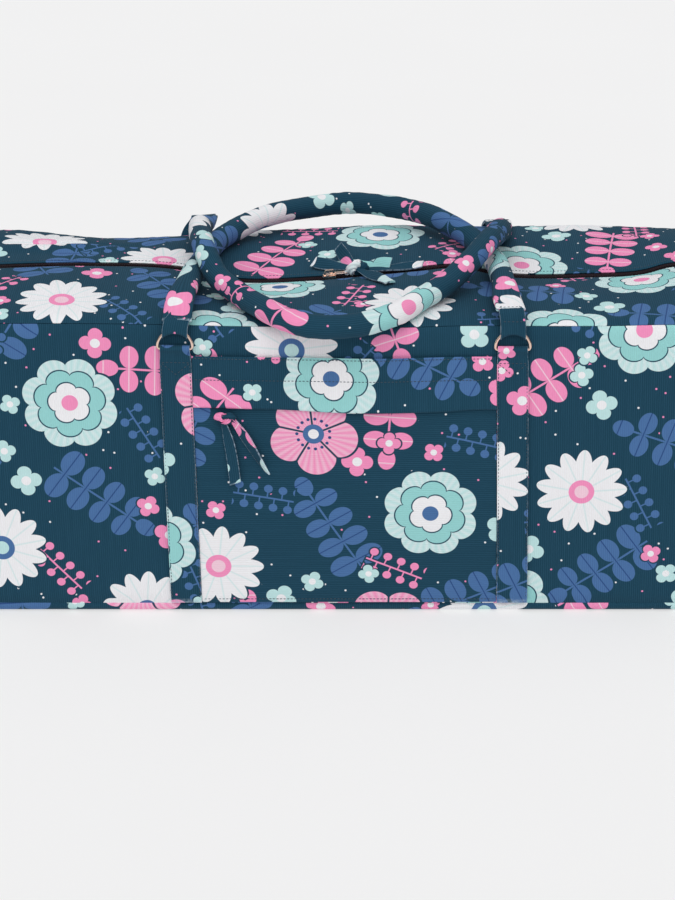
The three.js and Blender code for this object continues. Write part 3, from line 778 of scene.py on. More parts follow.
tape_finish, tape_tree, tape_surface = new_finish("maroon_tape")
tape_map = tape_tree.nodes.new("ShaderNodeUVMap")
twill = tape_tree.nodes.new("ShaderNodeTexWave")
twill.bands_direction = "DIAGONAL"
twill.inputs["Scale"].default_value = 420.0
twill.inputs["Distortion"].default_value = 0.6
tape_tree.links.new(tape_map.outputs[0], twill.inputs["Vector"])
join(tape_tree, ink(Field(twill.outputs[1]), DARK_MAROON, MAROON), tape_surface.inputs["Base Color"])
tape_bump = tape_tree.nodes.new("ShaderNodeBump")
tape_bump.inputs["Strength"].default_value = 0.4
tape_bump.inputs["Distance"].default_value = 0.2 * MM
tape_tree.links.new(twill.outputs[1], tape_bump.inputs["Height"])
tape_tree.links.new(tape_bump.outputs[0], tape_surface.inputs["Normal"])
tape_surface.inputs["Roughness"].default_value = 0.75
tape_surface.inputs["Specular IOR Level"].default_value = 0.15


def tape_place(a, b):
    return drape(a, b, TAPE_TOP + TAPE_RISE * np.clip((ZIP_HALF_GAP - np.abs(b)) / TAPE_RAMP, 0, 1))


tape_run = np.linspace(-ZIP_END, ZIP_END, 240)
for name, side in (("zip_tape_front", -1), ("zip_tape_back", 1)):
    tape = cloth_cut(name + "_weave", tape_run, np.sort(side * TAPE_OUT), tape_place, TAPE_THICK)
    finish_piece(tape, tape_finish, "zip", name)

coil_finish, coil_surface = mottled("maroon_coil", DARK_MAROON, MAROON, 900.0, 0.5)
coil_surface.inputs["Specular IOR Level"].default_value = 0.2
turns = np.arange(-ZIP_END + 1, ZIP_END - 1, COIL_PITCH)
turn_spots = np.concatenate([
    drape(turns, -COIL_HALF / 2, COIL_MIDDLE),
    drape(turns + COIL_PITCH / 2, COIL_HALF / 2, COIL_MIDDLE),
])
turn_places = np.tile(np.eye(4), (len(turn_spots), 1, 1))
turn_places[:, :3, 3] = turn_spots * MM
coil = copied_over("zip_coil_turns", bead(6, 5, TURN_HALF_SIZES), turn_places)
finish_piece(coil, coil_finish, "zip", "zip_coil")

# Slider and puller. Die-cast and plated rose gold: a plate that runs on the coil, with a bridge that the
# puller's bar sits in. Their edges are broken, as on the plated parts.
EDGE_BREAK = 0.3
ROSE = linear(229, 194, 175)
PALE_ROSE = linear(244, 218, 202)

rose_gold, plate = mottled("rose_gold_plate", ROSE, PALE_ROSE, 2200.0, 0.18)
plate.inputs["Metallic"].default_value = 1.0

for name in ("zip_slider", "zip_puller"):
    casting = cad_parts[name]
    bpy.ops.object.select_all(action="DESELECT")
    casting.select_set(True)
    bpy.context.view_layer.objects.active = casting
    bpy.ops.object.modifier_add(type="WELD")
    casting.modifiers[-1].merge_threshold = 0.02 * MM
    bpy.ops.object.modifier_add(type="BEVEL")
    broken = casting.modifiers[-1]
    broken.width = EDGE_BREAK * MM
    broken.segments = 3
    broken.limit_method = "ANGLE"
    broken.angle_limit = math.radians(30)
    casting.data.materials.clear()
    casting.data.materials.append(rose_gold)

# Zip pull. A narrow strip of the canvas, its raw edges folded in, looped through the puller's eye and tied in
# a tight overhand knot. It is gathered where it leaves the knot, and its tails lie crumpled on the top.
RIBBON_HALF = 4.9
RIBBON_THICK = 1.3
RIBBON_EDGES = np.array([0, 0.5, 1.3, 2.4])
RIBBON_STEP = 1.2
RIBBON_ROW = 1.5
GATHER_REACH = 24.0
SLIDER_AT = -12.0
KNOT_AT = 13.0
KNOT_UP = HEIGHT + 6.0
TAIL_REST = 1.6
TAIL_ARCH = 2.6
ARCH_REACH = 14.0
CRUMPLE = 0.7
CUPPING = 0.6

# Columns: heading in radians, start beside the knot, length, sideways bend, lift at the tip, turn on edge
# at the knot and at the tip, and where on the bolt it is cut from
PULL_TAILS = (
    (0.0, 0.0, 58.0, -2.0, 1.5, 0.25, 0.2, (0.627, 0.217)),
    (-0.1, 7.0, 30.0, 0.0, 1.0, 0.8, 0.75, (2.841, 1.202)),
    (-1.0, -2.0, 56.0, -3.0, 1.0, 0.5, 0.1, (2.543, 0.965)),
    (2.65, 4.0, 42.0, 5.0, 2.0, -0.2, -0.5, (0.093, 0.059)),
    (2.1, 3.0, 39.0, -3.0, 4.0, -0.5, -0.9, (0.335, 0.216)),
)


def ease(share):
    """0 to 1 with a soft start and end."""
    share = np.clip(share, 0, 1)
    return share**2 * (3 - 2 * share)


def gathered(u, v):
    """Place across a strip that widens from where it leaves its knot."""
    return u * (0.5 + 0.5 * ease(v / GATHER_REACH))


def face_outward(merge_within=0.0):
    """Joins points of the piece in hand that lie within a distance, and turns its faces outward."""
    bpy.ops.object.mode_set(mode="EDIT")
    bpy.ops.mesh.select_all(action="SELECT")
    if merge_within:
        bpy.ops.mesh.remove_doubles(threshold=merge_within)
    bpy.ops.mesh.normals_make_consistent(inside=False)
    bpy.ops.object.mode_set(mode="OBJECT")


def knot(name, place, scale, spin, cut_from):
    """A strip tied in an overhand knot: a pleated band along a trefoil line, spun about its middle."""
    along, round_it = 150, 40
    half_width, half_thick, pleat_count, pleat_depth = 1.9, 1.0, 6, 0.16
    bpy.ops.object.select_all(action="DESELECT")
    bpy.ops.mesh.primitive_torus_add(
        major_segments=along, minor_segments=round_it, major_radius=1, minor_radius=0.4,
    )
    t = np.repeat(np.arange(along), round_it) * 2 * math.pi / along
    a = np.tile(np.arange(round_it), along) * 2 * math.pi / round_it

    def line(t):
        x = np.sin(t) + 1.5 * np.sin(2 * t)
        y = np.cos(t) - 1.5 * np.cos(2 * t)
        z = -1.1 * np.sin(3 * t)
        spun_x = x * math.cos(spin) - y * math.sin(spin)
        spun_y = x * math.sin(spin) + y * math.cos(spin)
        return np.stack([spun_x, spun_y, z], axis=-1)
    forward = unit(line(t + 0.01) - line(t - 0.01))
    outward = unit(line(t) * np.array([1, 1, 0.4]))
    aside = unit(np.cross(forward, outward))
    over = np.cross(aside, forward)
    pleats = 1 + pleat_depth * np.sin(pleat_count * a + 2 * t)
    across = aside * (half_width * pleats * np.cos(a))[:, None]
    upward = over * (half_thick * pleats * np.sin(a))[:, None]
    band = shaped(name, place((line(t) + across + upward) * np.array(scale)))
    lay_on_bolt(band.data, np.stack([1.5 * a, 2.0 * t], axis=-1), cut_from)
    face_outward()
    bpy.ops.object.shade_smooth()
    return band


def ribbon(name, length, place, cut_from):
    """A folded strip: place gives its points from the distance across and along it."""
    across = stations(-RIBBON_HALF, RIBBON_HALF, RIBBON_STEP, 0, 0, RIBBON_EDGES)
    rows = np.linspace(0, length, int(length / RIBBON_ROW) + 2)
    strip = cloth_cut(name, across, rows, place, RIBBON_THICK, offset=0, cut_from=cut_from, worn_edges=True)
    finish_piece(strip, canvas, "canvas")


pull_knot = knot(
    "zip_pull_knot",
    lambda p: drape(p[:, 0] + KNOT_AT, p[:, 1], p[:, 2] + KNOT_UP),
    (2.9, 2.0, 2.0), math.radians(-60), (2.212, 0.386),
)
finish_piece(pull_knot, canvas, "canvas", "zip_pull")
for i, (heading, start, length, bend, lift, knot_turn, tip_turn, cut_from) in enumerate(PULL_TAILS):
    def tail_place(u, v):
        share = v / length
        turn = knot_turn + (tip_turn - knot_turn) * share
        side = gathered(u, v) * np.cos(turn) + bend * share**2
        on_edge = gathered(u, v) * np.sin(turn) + RIBBON_HALF * np.abs(np.sin(turn))
        crumples = CRUMPLE * np.sin(share * 8 + 0.35 * u + i) + CUPPING * (1 - (u / RIBBON_HALF) ** 2)
        rise = TAIL_REST + TAIL_ARCH * fade(v, ARCH_REACH) + lift * share**3 + on_edge + crumples
        ahead = v + 0.2 * u * share
        x = KNOT_AT + ahead * math.cos(heading) - side * math.sin(heading)
        y = start + ahead * math.sin(heading) + side * math.cos(heading)
        return drape(x, y, HEIGHT + rise)
    ribbon(f"zip_pull_tail_{i + 1}", length, tail_place, cut_from)

EYE_BAR_AT = SLIDER_AT + 15.6
EYE_BAR_UP = HEIGHT + 3.1
NECK_BEND = 1.6
NECK_SHARE = 0.2
NECK_SPREAD = 0.25
SPREAD_REACH = 5.0

# The strip's neck from the knot round the bar of the eye and back: along the bag, and up
bar_turn = np.linspace(math.pi / 2, 1.5 * math.pi, 14)
neck_section = np.concatenate([
    [(KNOT_AT - 2, HEIGHT + 6.0), (KNOT_AT - 5, HEIGHT + 5.4)],
    np.stack([EYE_BAR_AT + NECK_BEND * np.cos(bar_turn), EYE_BAR_UP + NECK_BEND * np.sin(bar_turn)], axis=-1),
    [(KNOT_AT - 5, HEIGHT + 3.4), (KNOT_AT - 2, HEIGHT + 4.2)],
])
neck_run = lengths_along(neck_section)


def neck_place(u, v):
    at, up = points_at(v, neck_run, neck_section).T
    spread = NECK_SHARE + NECK_SPREAD * ease((at - EYE_BAR_AT) / SPREAD_REACH)
    return drape(at, -u * spread, up)


ribbon("zip_pull_neck", neck_run[-1], neck_place, (0.199, 0.02))

# Pocket. A patch panel sewn between the front straps, with the weave turned on its side, a zip along its
# mouth, and a stitched flap of the canvas that hangs over the zip and stands off the pocket at its lip.
POCKET_HALF = 127.4
POCKET_OUT = 1.7
POCKET_THICK = 1.0
POCKET_FOOT = 2.0
POCKET_MOUTH = 192.0
POCKET_RELIEF = 0.6
POCKET_WAVE = 80.0
POCKET_SINK = 0.9
POCKET_CALM = 30.0
POCKET_ZIP_UP = (POCKET_MOUTH + 0.6, POCKET_MOUTH + 9.6)
POCKET_ZIP_OUT = 1.2
POCKET_ZIP_THICK = 0.6

pocket_across = stations(-POCKET_HALF, POCKET_HALF, PANEL_STEP, 0, 0)
pocket_up = stations(POCKET_FOOT, POCKET_MOUTH, PANEL_STEP, 0, 0)


def pocket_place(a, b):
    calm = np.clip(np.minimum(POCKET_HALF - np.abs(a), b - POCKET_FOOT) / POCKET_CALM, 0, 1)
    relief = np.maximum(unevenness(a, b, 71, POCKET_RELIEF, POCKET_WAVE) * calm, -POCKET_SINK)
    side_seams = puckers(b, POCKET_HALF - np.abs(a), 72)
    return drape(a, -HALF_DEPTH - POCKET_OUT - relief - side_seams, b)


pocket = cloth_cut(
    "pocket_panel_cloth", pocket_across, pocket_up, pocket_place,
    POCKET_THICK, cut_from=(1.537, 0.288), quarter_turn=True,
)
finish_piece(pocket, canvas, "canvas", "pocket_panel")

pocket_zip = cloth_cut(
    "pocket_zip_tape", np.linspace(-POCKET_HALF, POCKET_HALF, 80), np.linspace(*POCKET_ZIP_UP, 6),
    lambda a, b: drape(a, -HALF_DEPTH - POCKET_ZIP_OUT, b), POCKET_ZIP_THICK,
)
finish_piece(pocket_zip, tape_finish, "zip", "pocket_zip")

FLAP_THICK = 1.4
FLAP_TOP = 234.0
FLAP_SEAM = 213.0
FLAP_HANG = 26.0
FLAP_SIDE = 20.0
LIP_WAVE = 1.7

# Columns: height, rate and phase of the waves in which the flap stands off
FLAP_WAVES = ((1.0, 0.031, 0.9), (0.7, 0.074, 2.0))

# The flap's section from its top edge down to the lip and back up behind it: out from the front, and up
FLAP_SECTION = np.array([
    (2.0, 234.0), (2.2, 233.2), (2.2, 227.0), (2.2, 219.0), (2.2, 212.5), (2.6, 208.5), (3.4, 202.5),
    (4.3, 195.0), (5.2, 189.8), (5.3, 188.3), (4.6, 187.5), (3.9, 188.3), (3.7, 191.5), (3.3, 196.0),
])


def subdivided(run, parts=3):
    """A line of distances with each step cut into parts."""
    inner = [np.linspace(low, high, parts + 1)[:-1] for low, high in zip(run[:-1], run[1:])]
    return np.concatenate(inner + [run[-1:]])


flap_run = lengths_along(FLAP_SECTION)


def flap_place(a, b):
    out, up = points_at(-b, flap_run, FLAP_SECTION).T
    hang = np.clip((FLAP_SEAM - up) / FLAP_HANG, 0, 1)
    loose = hang * np.clip((POCKET_HALF - np.abs(a)) / FLAP_SIDE, 0, 1)
    stand = sum(height * np.sin(a * rate + phase) for height, rate, phase in FLAP_WAVES)
    lip = LIP_WAVE * np.cos((a + POCKET_HALF) * 0.75 * math.pi / POCKET_HALF)
    return drape(a, -HALF_DEPTH - out - loose * stand, up + hang * lip)


flap = cloth_cut(
    "pocket_flap_cloth", pocket_across, -subdivided(flap_run)[::-1], flap_place,
    FLAP_THICK, offset=0, cut_from=(0.9, 0.52),
)
finish_piece(flap, canvas, "canvas", "pocket_flap")

# Columns: how far up and how far out a row of the pocket's stitches lies
POCKET_ROWS = ((FLAP_TOP - 1.8, 2.95), (FLAP_SEAM, 2.95), (5.5, 1.8))
row_along = np.linspace(-POCKET_HALF + 1.5, POCKET_HALF - 1.5, 300)
sew("pocket_stitching", [(drape(row_along, -HALF_DEPTH - out, up), (0, -1, 0)) for up, out in POCKET_ROWS])

# Pocket pull. Another folded strip, knotted where it comes out from under the flap, with two tails that hang
# on the pocket and part: one lies flat, and the other turns on edge towards its tip.
PULL_ALONG = -101.0
PULL_UP = 180.0
PULL_OUT = 6.5
HANG_OUT = 4.4
HANG_ARCH = 2.0
HANG_REACH = 16.0
TIP_OUT = 1.2
SWAY = 1.5

# Columns: start beside the knot, lean from upright, length, turn on edge at the knot and at the tip, slant
# of the cut end
POCKET_TAILS = (
    (-2.0, 0.143, 61.0, 0.7, 0.05, -0.25),
    (4.0, 0.565, 58.0, 0.2, 1.25, 0.4),
)

pocket_knot = knot(
    "pocket_pull_knot",
    lambda p: drape(p[:, 0] + PULL_ALONG, -HALF_DEPTH - PULL_OUT - p[:, 2], p[:, 1] + PULL_UP),
    (2.7, 1.7, 1.4), 0.0, (1.592, 0.036),
)
finish_piece(pocket_knot, canvas, "canvas", "pocket_pull")
for i, (start, lean, length, knot_turn, tip_turn, slant) in enumerate(POCKET_TAILS):
    # Distances run from the tip up, so that the strip's printed face is outward
    def hanging_place(u, v):
        down = length - v
        share = down / length
        turn = knot_turn + (tip_turn - knot_turn) * share
        side = gathered(u, down) * np.cos(turn)
        on_edge = (gathered(u, down) + RIBBON_HALF / 2) * np.sin(turn) * 0.7
        out = HANG_OUT + HANG_ARCH * fade(down, HANG_REACH) + TIP_OUT * share + on_edge
        fall = down + slant * u * share
        sway = SWAY * np.sin(share * 3.2 + i)
        x = PULL_ALONG + start + fall * math.sin(lean) + side * math.cos(lean) + sway
        return drape(x, -HALF_DEPTH - out, PULL_UP - fall * math.cos(lean) + side * math.sin(lean))
    ribbon(f"pocket_pull_tail_{i + 1}", length, hanging_place, (0.41 + 0.13 * i, 0.2))

# Straps. Flat bands sewn up the front and back from the base seam. The top of each is folded round a ring's
# bar and held by a bar of stitches with a V under it.
STRAP_AT = 141.0
STRAP_HALF = 13.2
STRAP_LOOP_HALF = 12.4
STRAP_THICK = 1.4
STRAP_FOOT = 2.0
BAR_UP = 241.0
WIRE_RADIUS = 1.3
LOOP_INNER = WIRE_RADIUS + 0.35
LOOP_MIDDLE = LOOP_INNER + 0.75
BAR_OUT = SEAM_GAP + LOOP_INNER + 1.5
STITCH_BAR_UP = BAR_UP - 12.5
STITCH_BAR_OUT = 4.1
STITCH_V_UP = STITCH_BAR_UP - 0.5
STITCH_V_OUT = 3.9
STITCH_V_FALL = 10.5
EDGE_ROW_IN = 1.2
EDGE_ROW_OUT = 3.15
LAYER_STEP = 0.9
STRAP_STEP = 2.4
STRAP_WAVE = 0.35
STRAP_GATHERS = 0.25
NARROW_FROM = BAR_UP - 14
NARROW_REACH = 11.0
LAYERS_FROM = BAR_UP - 24
LAYERS_REACH = 20.0
BAND_EDGES = np.array([0, 0.45, 1.1, 2.2])


def section(outs, ups):
    """Points of a piece's section: out from the panel, and up."""
    return np.stack([outs, ups], axis=-1)


# The strap's section: up the panel, out over its own end, round the bar and down again behind
loop_turn = np.linspace(-0.75, math.pi, 22)
strap_section = np.concatenate([
    section(np.full(44, 2.4), np.linspace(STRAP_FOOT, BAR_UP - 31, 44)),
    section(np.linspace(2.5, 3.6, 8), np.linspace(BAR_UP - 28, BAR_UP - 7, 8)),
    section(BAR_OUT + LOOP_MIDDLE * np.cos(loop_turn), BAR_UP + LOOP_MIDDLE * np.sin(loop_turn)),
    section(np.full(12, 1.3), np.linspace(BAR_UP - 3, BAR_UP - 28, 12)),
])
strap_run = lengths_along(strap_section)
strap_across = stations(-STRAP_HALF, STRAP_HALF, STRAP_STEP, 0, 0, BAND_EDGES)


def strap(face_name, face, side_name, side, cut_from):
    place_name = f"{face_name}_{side_name}"

    def place(a, b):
        out, up = points_at(b, strap_run, strap_section).T
        narrowing = 1 + (STRAP_LOOP_HALF / STRAP_HALF - 1) * ease((up - NARROW_FROM) / NARROW_REACH)
        flat = np.clip((LAYERS_FROM - up) / LAYERS_REACH, 0, 1)
        gathers = STRAP_GATHERS * puckers(up, STRAP_HALF - np.abs(a), 81)
        relief = (STRAP_WAVE * np.sin(up * 0.07 + side + face) + gathers) * flat
        return drape(side * STRAP_AT - face * a * narrowing, face * (HALF_DEPTH + out + relief), up)
    band = cloth_cut(
        f"strap_{place_name}_cloth", strap_across, strap_run, place,
        STRAP_THICK, offset=0, cut_from=cut_from, worn_edges=True,
    )
    finish_piece(band, canvas, "canvas", f"strap_{place_name}")

    def on_band(across, up, out):
        return drape(side * STRAP_AT + across, face * (HALF_DEPTH + out), up)
    rise = np.linspace(8, STITCH_BAR_UP - 2, 160)
    edge = STRAP_HALF - EDGE_ROW_IN
    bar = np.linspace(-edge, edge, 20)
    v_up = STITCH_V_UP - STITCH_V_FALL * (1 - np.abs(bar) / edge)
    outward = (0, face, 0)
    edge_out = EDGE_ROW_OUT + LAYER_STEP * np.clip((rise - BAR_UP + 30) / 18, 0, 1)
    rows = [(on_band(hand * edge, rise, edge_out), outward) for hand in (-1, 1)]
    rows.append((on_band(bar, STITCH_BAR_UP, STITCH_BAR_OUT), outward))
    rows.append((on_band(bar, v_up, STITCH_V_OUT), outward))
    sew(f"strap_{place_name}_stitching", rows)


faces = (("front", -1), ("back", 1))
sides = (("left", -1), ("right", 1))
for row, (face_name, face) in enumerate(faces):
    for column, (side_name, side) in enumerate(sides):
        strap(face_name, face, side_name, side, (0.13 + 0.47 * column, 1.3 + 0.6 * row))

# Rings. Bent and butted wire, plated rose gold: a straight bar in the strap's fold and a bow above it that
# holds a handle. Each tilts with the strap that it hangs on.
RING_HALF = 14.5
RING_RISE = 15.5
RING_CORNER = 2.2
RING_AROUND = 120
RING_SIDES = 16


def bow_height(across):
    """Height of the bow's centre line above the bar's."""
    arch = np.sqrt(1 - np.minimum(1, np.abs(across) / RING_HALF) ** 2)
    return RING_CORNER + (RING_RISE - RING_CORNER) * arch


def ring_line():
    """Points round the ring's centre line."""
    corner = np.linspace(-math.pi / 2, 0, 10)
    bow = RING_HALF * np.cos(np.linspace(0, math.pi, 80))
    straight = RING_HALF - RING_CORNER
    right = np.stack([straight + RING_CORNER * np.cos(corner), RING_CORNER + RING_CORNER * np.sin(corner)], 1)
    arch = np.stack([bow, bow_height(bow)], 1)
    left = right[::-1] * (-1, 1)
    bar = np.stack([np.linspace(-straight, straight, 20), np.zeros(20)], 1)
    return np.concatenate([right[:-1], arch[:-1], left[:-1], bar])


def ring_frame(face, side):
    """A ring's place in its strap's loop: its middle, and the directions of its bar, depth and rise."""
    ends = np.array([-RING_HALF, 0, RING_HALF])
    left, middle, right = drape(side * STRAP_AT + ends, face * (HALF_DEPTH + BAR_OUT), BAR_UP)
    bar = unit(right - left)
    depth = unit(np.cross((0, 0, 1), bar))
    return middle, bar, depth, np.cross(bar, depth)


def ring(face_name, face, side_name, side):
    bpy.ops.object.select_all(action="DESELECT")
    bpy.ops.mesh.primitive_torus_add(
        major_segments=RING_AROUND, minor_segments=RING_SIDES, major_radius=1, minor_radius=0.1,
    )
    points = ring_line()
    run = lengths_along(points)
    centre = points_at(np.arange(RING_AROUND) * run[-1] / RING_AROUND, run, points)
    ahead = unit(np.roll(centre, -1, axis=0) - np.roll(centre, 1, axis=0))
    outward = np.stack([ahead[:, 1], -ahead[:, 0]], 1)
    angle = np.tile(np.arange(RING_SIDES) * 2 * math.pi / RING_SIDES, RING_AROUND)[:, None]
    spread = np.repeat(outward, RING_SIDES, 0) * WIRE_RADIUS * np.cos(angle)
    across, up = (np.repeat(centre, RING_SIDES, 0) + spread).T[..., None]
    middle, bar, depth, rise = ring_frame(face, side)
    spots = middle + across * bar + up * rise + WIRE_RADIUS * np.sin(angle) * depth
    wire = shaped(f"ring_{face_name}_{side_name}_wire", spots)
    face_outward()
    bpy.ops.object.shade_smooth()
    finish_piece(wire, rose_gold, "wire", f"ring_{face_name}_{side_name}")


for face_name, face in faces:
    for side_name, side in sides:
        ring(face_name, face, side_name, side)

# Handles. Tubes of the canvas stuffed with cord, their flattened ends sewn over short tabs that fold round
# the rings. The front one lies back over the top, and the back one lies forward over it.
HANDLE_RADIUS = 10.0
HANDLE_TAPER = 75.0
HANDLE_ROWS = 330
HANDLE_SIDES = 40
END_HALF_WIDTH = 12.4
END_HALF_THICK = 1.5
REST_GAP = 0.8
CREASE_HEIGHT = 0.25
SEAM_DEPTH = 0.7
SEAM_HALF_ANGLE = 0.06
LUMP_HEIGHT = 0.3
LUMP_WAVE = 55.0
PLEAT_HEIGHT = 0.5
PLEAT_REACH = 42.0
PLEAT_START = 7.0
FRAY = 0.6
JOIN_WITHIN = 0.05 * MM
ROLL_SMOOTH_ANGLE = math.radians(60)
TAB_HALF = 10.5
TAB_THICK = 1.2
TAB_STEP = 2.0
TAB_TUCK = 7.0
TAB_NARROWING = 0.4
TAB_FLAT_FROM = 12.0
TAB_LAYER_OUT = 0.7
TAB_ROW_UP = 9.5
TAB_ROW_OUT = 1.6
TAB_ROW_ROOM = 4.0
TAB_CUTS = {"left": (1.3565, 0.43), "right": (1.669, 0.138)}

# Columns: along the bag, out from its middle, and lift above a roll that rests on the top there
HANDLE_ROUTES = {
    "front": (
        (-144, -138, -8), (-142, -125, 3), (-138, -85, 1), (-134, -45, 0), (-127, 14, 1), (-115, 58, 2),
        (-91, 94, 5), (-73, 109, 7), (-45, 128, 8), (-3, 141, 8), (39, 121, 8), (57, 109, 7), (75, 88, 6),
        (92, 62, 4), (109, 36, 3), (118, 20, 1.5), (128, -4, 1), (131, -42, 0), (132, -82, 1),
        (132, -115, 2), (134, -137, 2),
    ),
    "back": (
        (-135, 139, 3.5), (-135, 110, 1), (-135, 85, 2.5), (-133, 30, 18.5), (-129, -14, 23),
        (-122.5, -55, 19.5), (-113, -75, 8), (-90, -104, 1), (-70, -133, 1), (-53, -153, -1),
        (-37, -159, -4), (-16, -159, -5), (10, -152, -4), (37, -138, 0), (59, -114, 1), (83, -89, 3),
        (101, -65, 10), (115, -40, 18.5), (128.5, 0, 23.3), (135, 30, 16.5), (138, 70, -1.4),
        (138.7, 88, -4), (139.3, 107, -5.8), (139.5, 126, -6.6),
    ),
}


def smooth_route(points, count):
    """Evenly spaced points on a smooth line through the given ones."""
    points = np.concatenate([[2 * points[0] - points[1]], points, [2 * points[-1] - points[-2]]])
    t = np.linspace(0, 1, 24, endpoint=False)[:, None]
    dense = []
    for p0, p1, p2, p3 in zip(points[:-3], points[1:-2], points[2:-1], points[3:]):
        d0, d1, d2 = (math.sqrt(np.linalg.norm(b - a)) for a, b in ((p0, p1), (p1, p2), (p2, p3)))
        start = ((p1 - p0) / d0 - (p2 - p0) / (d0 + d1) + (p2 - p1) / d1) * d1
        end = ((p2 - p1) / d1 - (p3 - p1) / (d1 + d2) + (p3 - p2) / d2) * d1
        bend = (2 * p1 - 2 * p2 + start + end) * t**3 + (3 * p2 - 3 * p1 - 2 * start - end) * t**2
        dense.append(bend + start * t + p1)
    dense = np.concatenate(dense + [points[-2:-1]])
    run = lengths_along(dense)
    return points_at(np.linspace(0, run[-1], count), run, dense)


def resting(x, y):
    """Height of the middle of a roll that rests on the top."""
    return top_height(x - LEAN, y) + HANDLE_RADIUS + REST_GAP


def handle_line(face_name):
    """Centre line of a roll from one raw end to the other."""
    x, y, lift = smooth_route(np.array(HANDLE_ROUTES[face_name], float), HANDLE_ROWS).T
    line = np.stack([x, y, resting(x, y) + lift], axis=-1)
    for _ in range(4):
        line[1:-1] = (line[:-2] + 2 * line[1:-1] + line[2:]) / 4
    return line


def roll_of_cloth(name, us, vs, place, cut_from):
    """A stuffed tube: a grid rolled up, its edges joined, its ends drawn shut and their rims worn."""
    roll, _, v = cloth_grid(name, us, vs, place, cut_from)
    mark_worn(roll.data, (v == vs[1]) | (v == vs[-2]))
    face_outward(JOIN_WITHIN)
    bpy.ops.object.shade_smooth_by_angle(angle=ROLL_SMOOTH_ANGLE)
    return roll


def tab_path(bow, rise, end, into):
    """Middle line of a tab: up from the ring's bow, round to the roll's end and a little way into it."""
    t = np.linspace(0, 1, 25)[:, None]
    reach = 1.2 * np.linalg.norm(end - bow)
    bend = (t**3 - 2 * t**2 + t) * rise + (t**3 - t**2) * into
    outside = bow + (3 * t**2 - 2 * t**3) * (end - bow) + bend * reach
    return np.concatenate([outside, end + np.linspace(1, TAB_TUCK, 6)[:, None] * into])


def tab(name, face, path, bar, rise, cut_from):
    """A short band folded round the ring's bow, its two layers running up into the roll."""
    path_run = lengths_along(path)
    outward = face * unit(np.cross(unit(np.gradient(path, axis=0)), bar))
    hairpin = LOOP_INNER + TAB_THICK / 2
    turn = np.linspace(math.pi, 2 * math.pi, 16)
    flat_up = np.linspace(TAB_FLAT_FROM, path_run[-1], 12)
    layer = np.concatenate([[(1.9, 3.6), (1.0, 8.5)], section(np.full(12, TAB_LAYER_OUT), flat_up)])
    fold = section(hairpin * np.cos(turn), hairpin * np.sin(turn))
    both_layers = np.concatenate([layer[::-1] * (-1, 1), fold, layer])
    run = lengths_along(both_layers)

    def place(a, b):
        out, up = points_at(b, run, both_layers).T
        up = up - (RING_RISE - bow_height(a)) * ease((TAB_FLAT_FROM - up) / TAB_FLAT_FROM)
        middle = points_at(up, path_run, path) + np.minimum(up, 0)[:, None] * rise
        tucked = 1 - TAB_NARROWING * np.clip((up - path_run[-1] + TAB_TUCK) / TAB_TUCK, 0, 1)
        return middle + (face * tucked * a)[:, None] * bar + out[:, None] * points_at(up, path_run, outward)
    across = stations(-TAB_HALF, TAB_HALF, TAB_STEP, 0, 0, BAND_EDGES)
    band = cloth_cut(
        f"{name}_tab", across, subdivided(run), place,
        TAB_THICK, offset=0, cut_from=cut_from, worn_edges=True,
    )
    finish_piece(band, canvas, "canvas")


def rows_across(middle, aside, outward, half_width, half_thick):
    """Rows of stitches across a flat end, on both of its faces."""
    share = np.linspace(-0.82, 0.82, 24)[:, None]
    crown = half_thick * (1 - share**4) ** 0.25
    flat_row = middle + share * half_width * aside
    return [(flat_row + hand * crown * outward, hand * outward) for hand in (-1, 1)]


